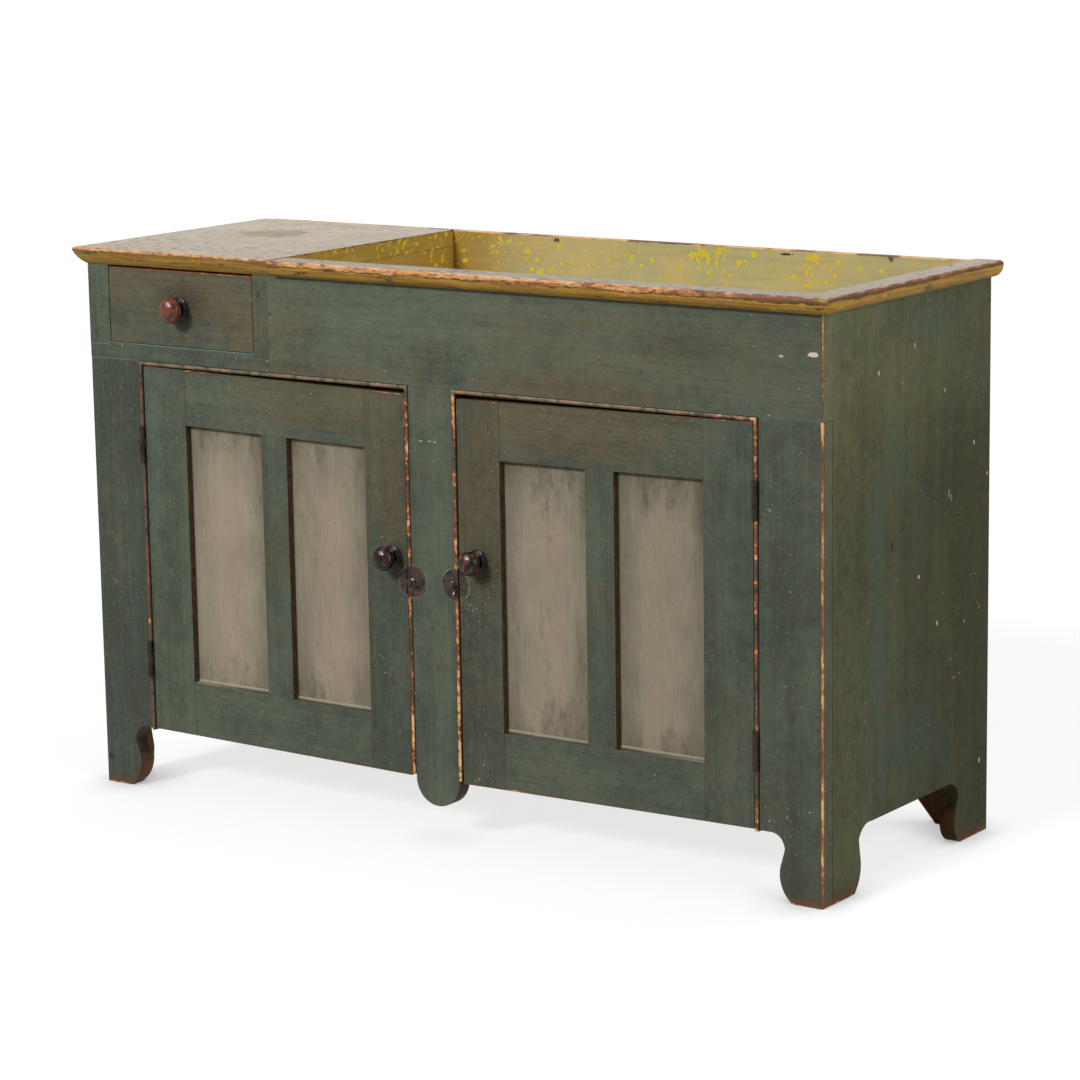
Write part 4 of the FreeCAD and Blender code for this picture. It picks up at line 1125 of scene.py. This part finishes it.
def screw_head(place, radius, turn):
    """A bmesh of a slotted round head that looks along -Y. place is on the surface it holds."""
    shape = bmesh.new()
    slot, dome, rim = 0.14 * radius, 0.3 * radius, 0.12 * radius
    across, rows = 12, 5
    reach = math.sqrt(radius ** 2 - slot ** 2)
    for side in (-1, 1):
        grid = []
        for row in range(rows + 1):
            line = []
            for column in range(across + 1):
                v = reach * math.sin(math.pi * (column / across - 0.5))
                edge = math.sqrt(max(radius ** 2 - v ** 2, slot ** 2))
                u = slot + (edge - slot) * row / rows
                out = rim + dome * (1 - (u * u + v * v) / radius ** 2)
                line.append(shape.verts.new((side * u, -out, v)))
            grid.append(line)
        for low, high in zip(grid, grid[1:]):
            for column in range(across):
                shape.faces.new((low[column], low[column + 1], high[column + 1], high[column]))
    bmesh.ops.remove_doubles(shape, verts=shape.verts, dist=0.001 * MM)
    edges = [edge for edge in shape.edges if edge.is_boundary]
    walls = bmesh.ops.extrude_edge_only(shape, edges=edges)["geom"]
    for vert in walls:
        if isinstance(vert, bmesh.types.BMVert):
            vert.co.y = 0
    corners = ((-slot, -reach), (slot, -reach), (slot, reach), (-slot, reach))
    shape.faces.new([shape.verts.new((u, -0.5 * rim, v)) for u, v in corners])
    shape.transform(Matrix.Translation(place) @ Matrix.Rotation(turn, 4, "Y"))
    return shape


SCREW_RADIUS = 2.4 * MM
SCREW_HEIGHTS = (0.42, -0.3)  # above the latch's middle, as shares of its radius
keeper_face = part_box("latch_keeper_left")[0].y
iron_screw = iron_finish("iron_screw", 99, worn=0.5)
for side, (centre, radius) in (("left", disc_left), ("right", disc_right)):
    for number, up in enumerate(SCREW_HEIGHTS):
        place = Vector((middle(f"latch_keeper_{side}").x, keeper_face, centre.z + up * radius))
        shape = screw_head(place, SCREW_RADIUS, 0.6 + number)
        name = f"keeper_screw_{side}_{number + 1}"
        new_piece(name, shape, iron_screw, f"{side}_door", smooth=False)

# ---- studio

LENS = 116.6
SENSOR = 36
CLIP_END = 200
CAMERA_PLACE = Vector((2.90454, -4.10211, 1.39444))
CAMERA_RIGHT = Vector((0.8207091, 0.5711297, -0.0157292))
CAMERA_DOWN = Vector((0.0978281, -0.1675952, -0.9809901))
CAMERA_AHEAD = Vector((-0.5629087, 0.8035688, -0.1934195))
# Name, direction, strength, spread in degrees, and whether it shows in gloss alone.
SUNS = (
    ("key", (0.14, 0.84, -0.52), 2.2, 12, False),
    ("top", (0.02, -0.36, -0.93), 1, 40, False),
    ("fill", (-0.93, 0.12, -0.35), 1.7, 50, False),
    ("sheen", (0.35, 0.7, -0.62), 3.2, 32, True),
)
WORLD_LIGHT = 0.13
FLOOR_HALF = 60
FLOOR_GREY = (0.3, 0.3, 0.3, 1)
FLOOR_GLOW = (0.36, 0.77)  # from the darkest place by the feet to the open floor
NEAR_FEET = 75 * MM
MOST_HIDDEN = 0.25
BESIDE_CASE = (0.6, 0.68)  # the darkening by the feet ends between these two distances from the middle


def add_camera():
    data = bpy.data.cameras.new("camera")
    data.lens = LENS
    data.sensor_width = SENSOR
    data.clip_end = CLIP_END
    camera = bpy.data.objects.new("camera", data)
    turn = Matrix((CAMERA_RIGHT, -CAMERA_DOWN, -CAMERA_AHEAD)).transposed()
    camera.matrix_world = Matrix.Translation(CAMERA_PLACE) @ turn.to_4x4()
    bpy.context.scene.collection.objects.link(camera)
    bpy.context.scene.camera = camera


def add_sun(name, direction, strength, spread, gloss_alone):
    """A soft sun that shines along direction."""
    data = bpy.data.lights.new(name, "SUN")
    data.energy = strength
    data.angle = math.radians(spread)
    light = bpy.data.objects.new(name, data)
    light.rotation_mode = "QUATERNION"
    light.rotation_quaternion = Vector(direction).to_track_quat("-Z", "Y")
    light.visible_diffuse = not gloss_alone
    bpy.context.scene.collection.objects.link(light)


def floor_finish():
    """White to the eye and shadowed by the lamps, with painted shade that darkens it close to the feet.
    """
    material = bpy.data.materials.new("floor_white")
    n = Nodes(material)
    close = n.add("AmbientOcclusion", Distance=NEAR_FEET).outputs["AO"]
    x = n.add("SeparateXYZ", Vector=n.add("TexCoord").outputs["Object"]).outputs[0]
    clear = n.most(close, n.ramp(n.size(x), *BESIDE_CASE))
    glow = dict(zip(("To Min", "To Max"), FLOOR_GLOW))
    lift = n.add("MapRange", **{"Value": clear, "From Min": MOST_HIDDEN}, **glow)
    shaders = (
        n.add("BsdfDiffuse", Color=FLOOR_GREY),
        n.add("Emission", Strength=n.times(n.seen(), lift.outputs[0])),
    )
    both = n.add("AddShader")
    for socket, shader in zip(both.inputs, shaders):
        n.connect(socket, shader.outputs[0])
    n.add("OutputMaterial", Surface=both.outputs[0])
    return material


def add_floor():
    mesh = bpy.data.meshes.new("floor")
    corners = [(x * FLOOR_HALF, y * FLOOR_HALF, 0) for x, y in ((-1, -1), (1, -1), (1, 1), (-1, 1))]
    mesh.from_pydata(corners, [], [(0, 1, 2, 3)])
    mesh.materials.append(floor_finish())
    floor = bpy.data.objects.new("floor", mesh)
    bpy.context.scene.collection.objects.link(floor)


def add_world():
    """White to the eye, softer as a light."""
    world = bpy.data.worlds.new("studio")
    n = Nodes(world)
    level = n.add("MapRange", **{"Value": n.seen(), "To Min": WORLD_LIGHT})
    background = n.add("Background", Strength=level.outputs[0])
    n.add("OutputWorld", Surface=background.outputs[0])
    bpy.context.scene.world = world


add_camera()
for sun in SUNS:
    add_sun(*sun)
add_floor()
add_world()
bpy.context.scene.view_settings.view_transform = "Standard"
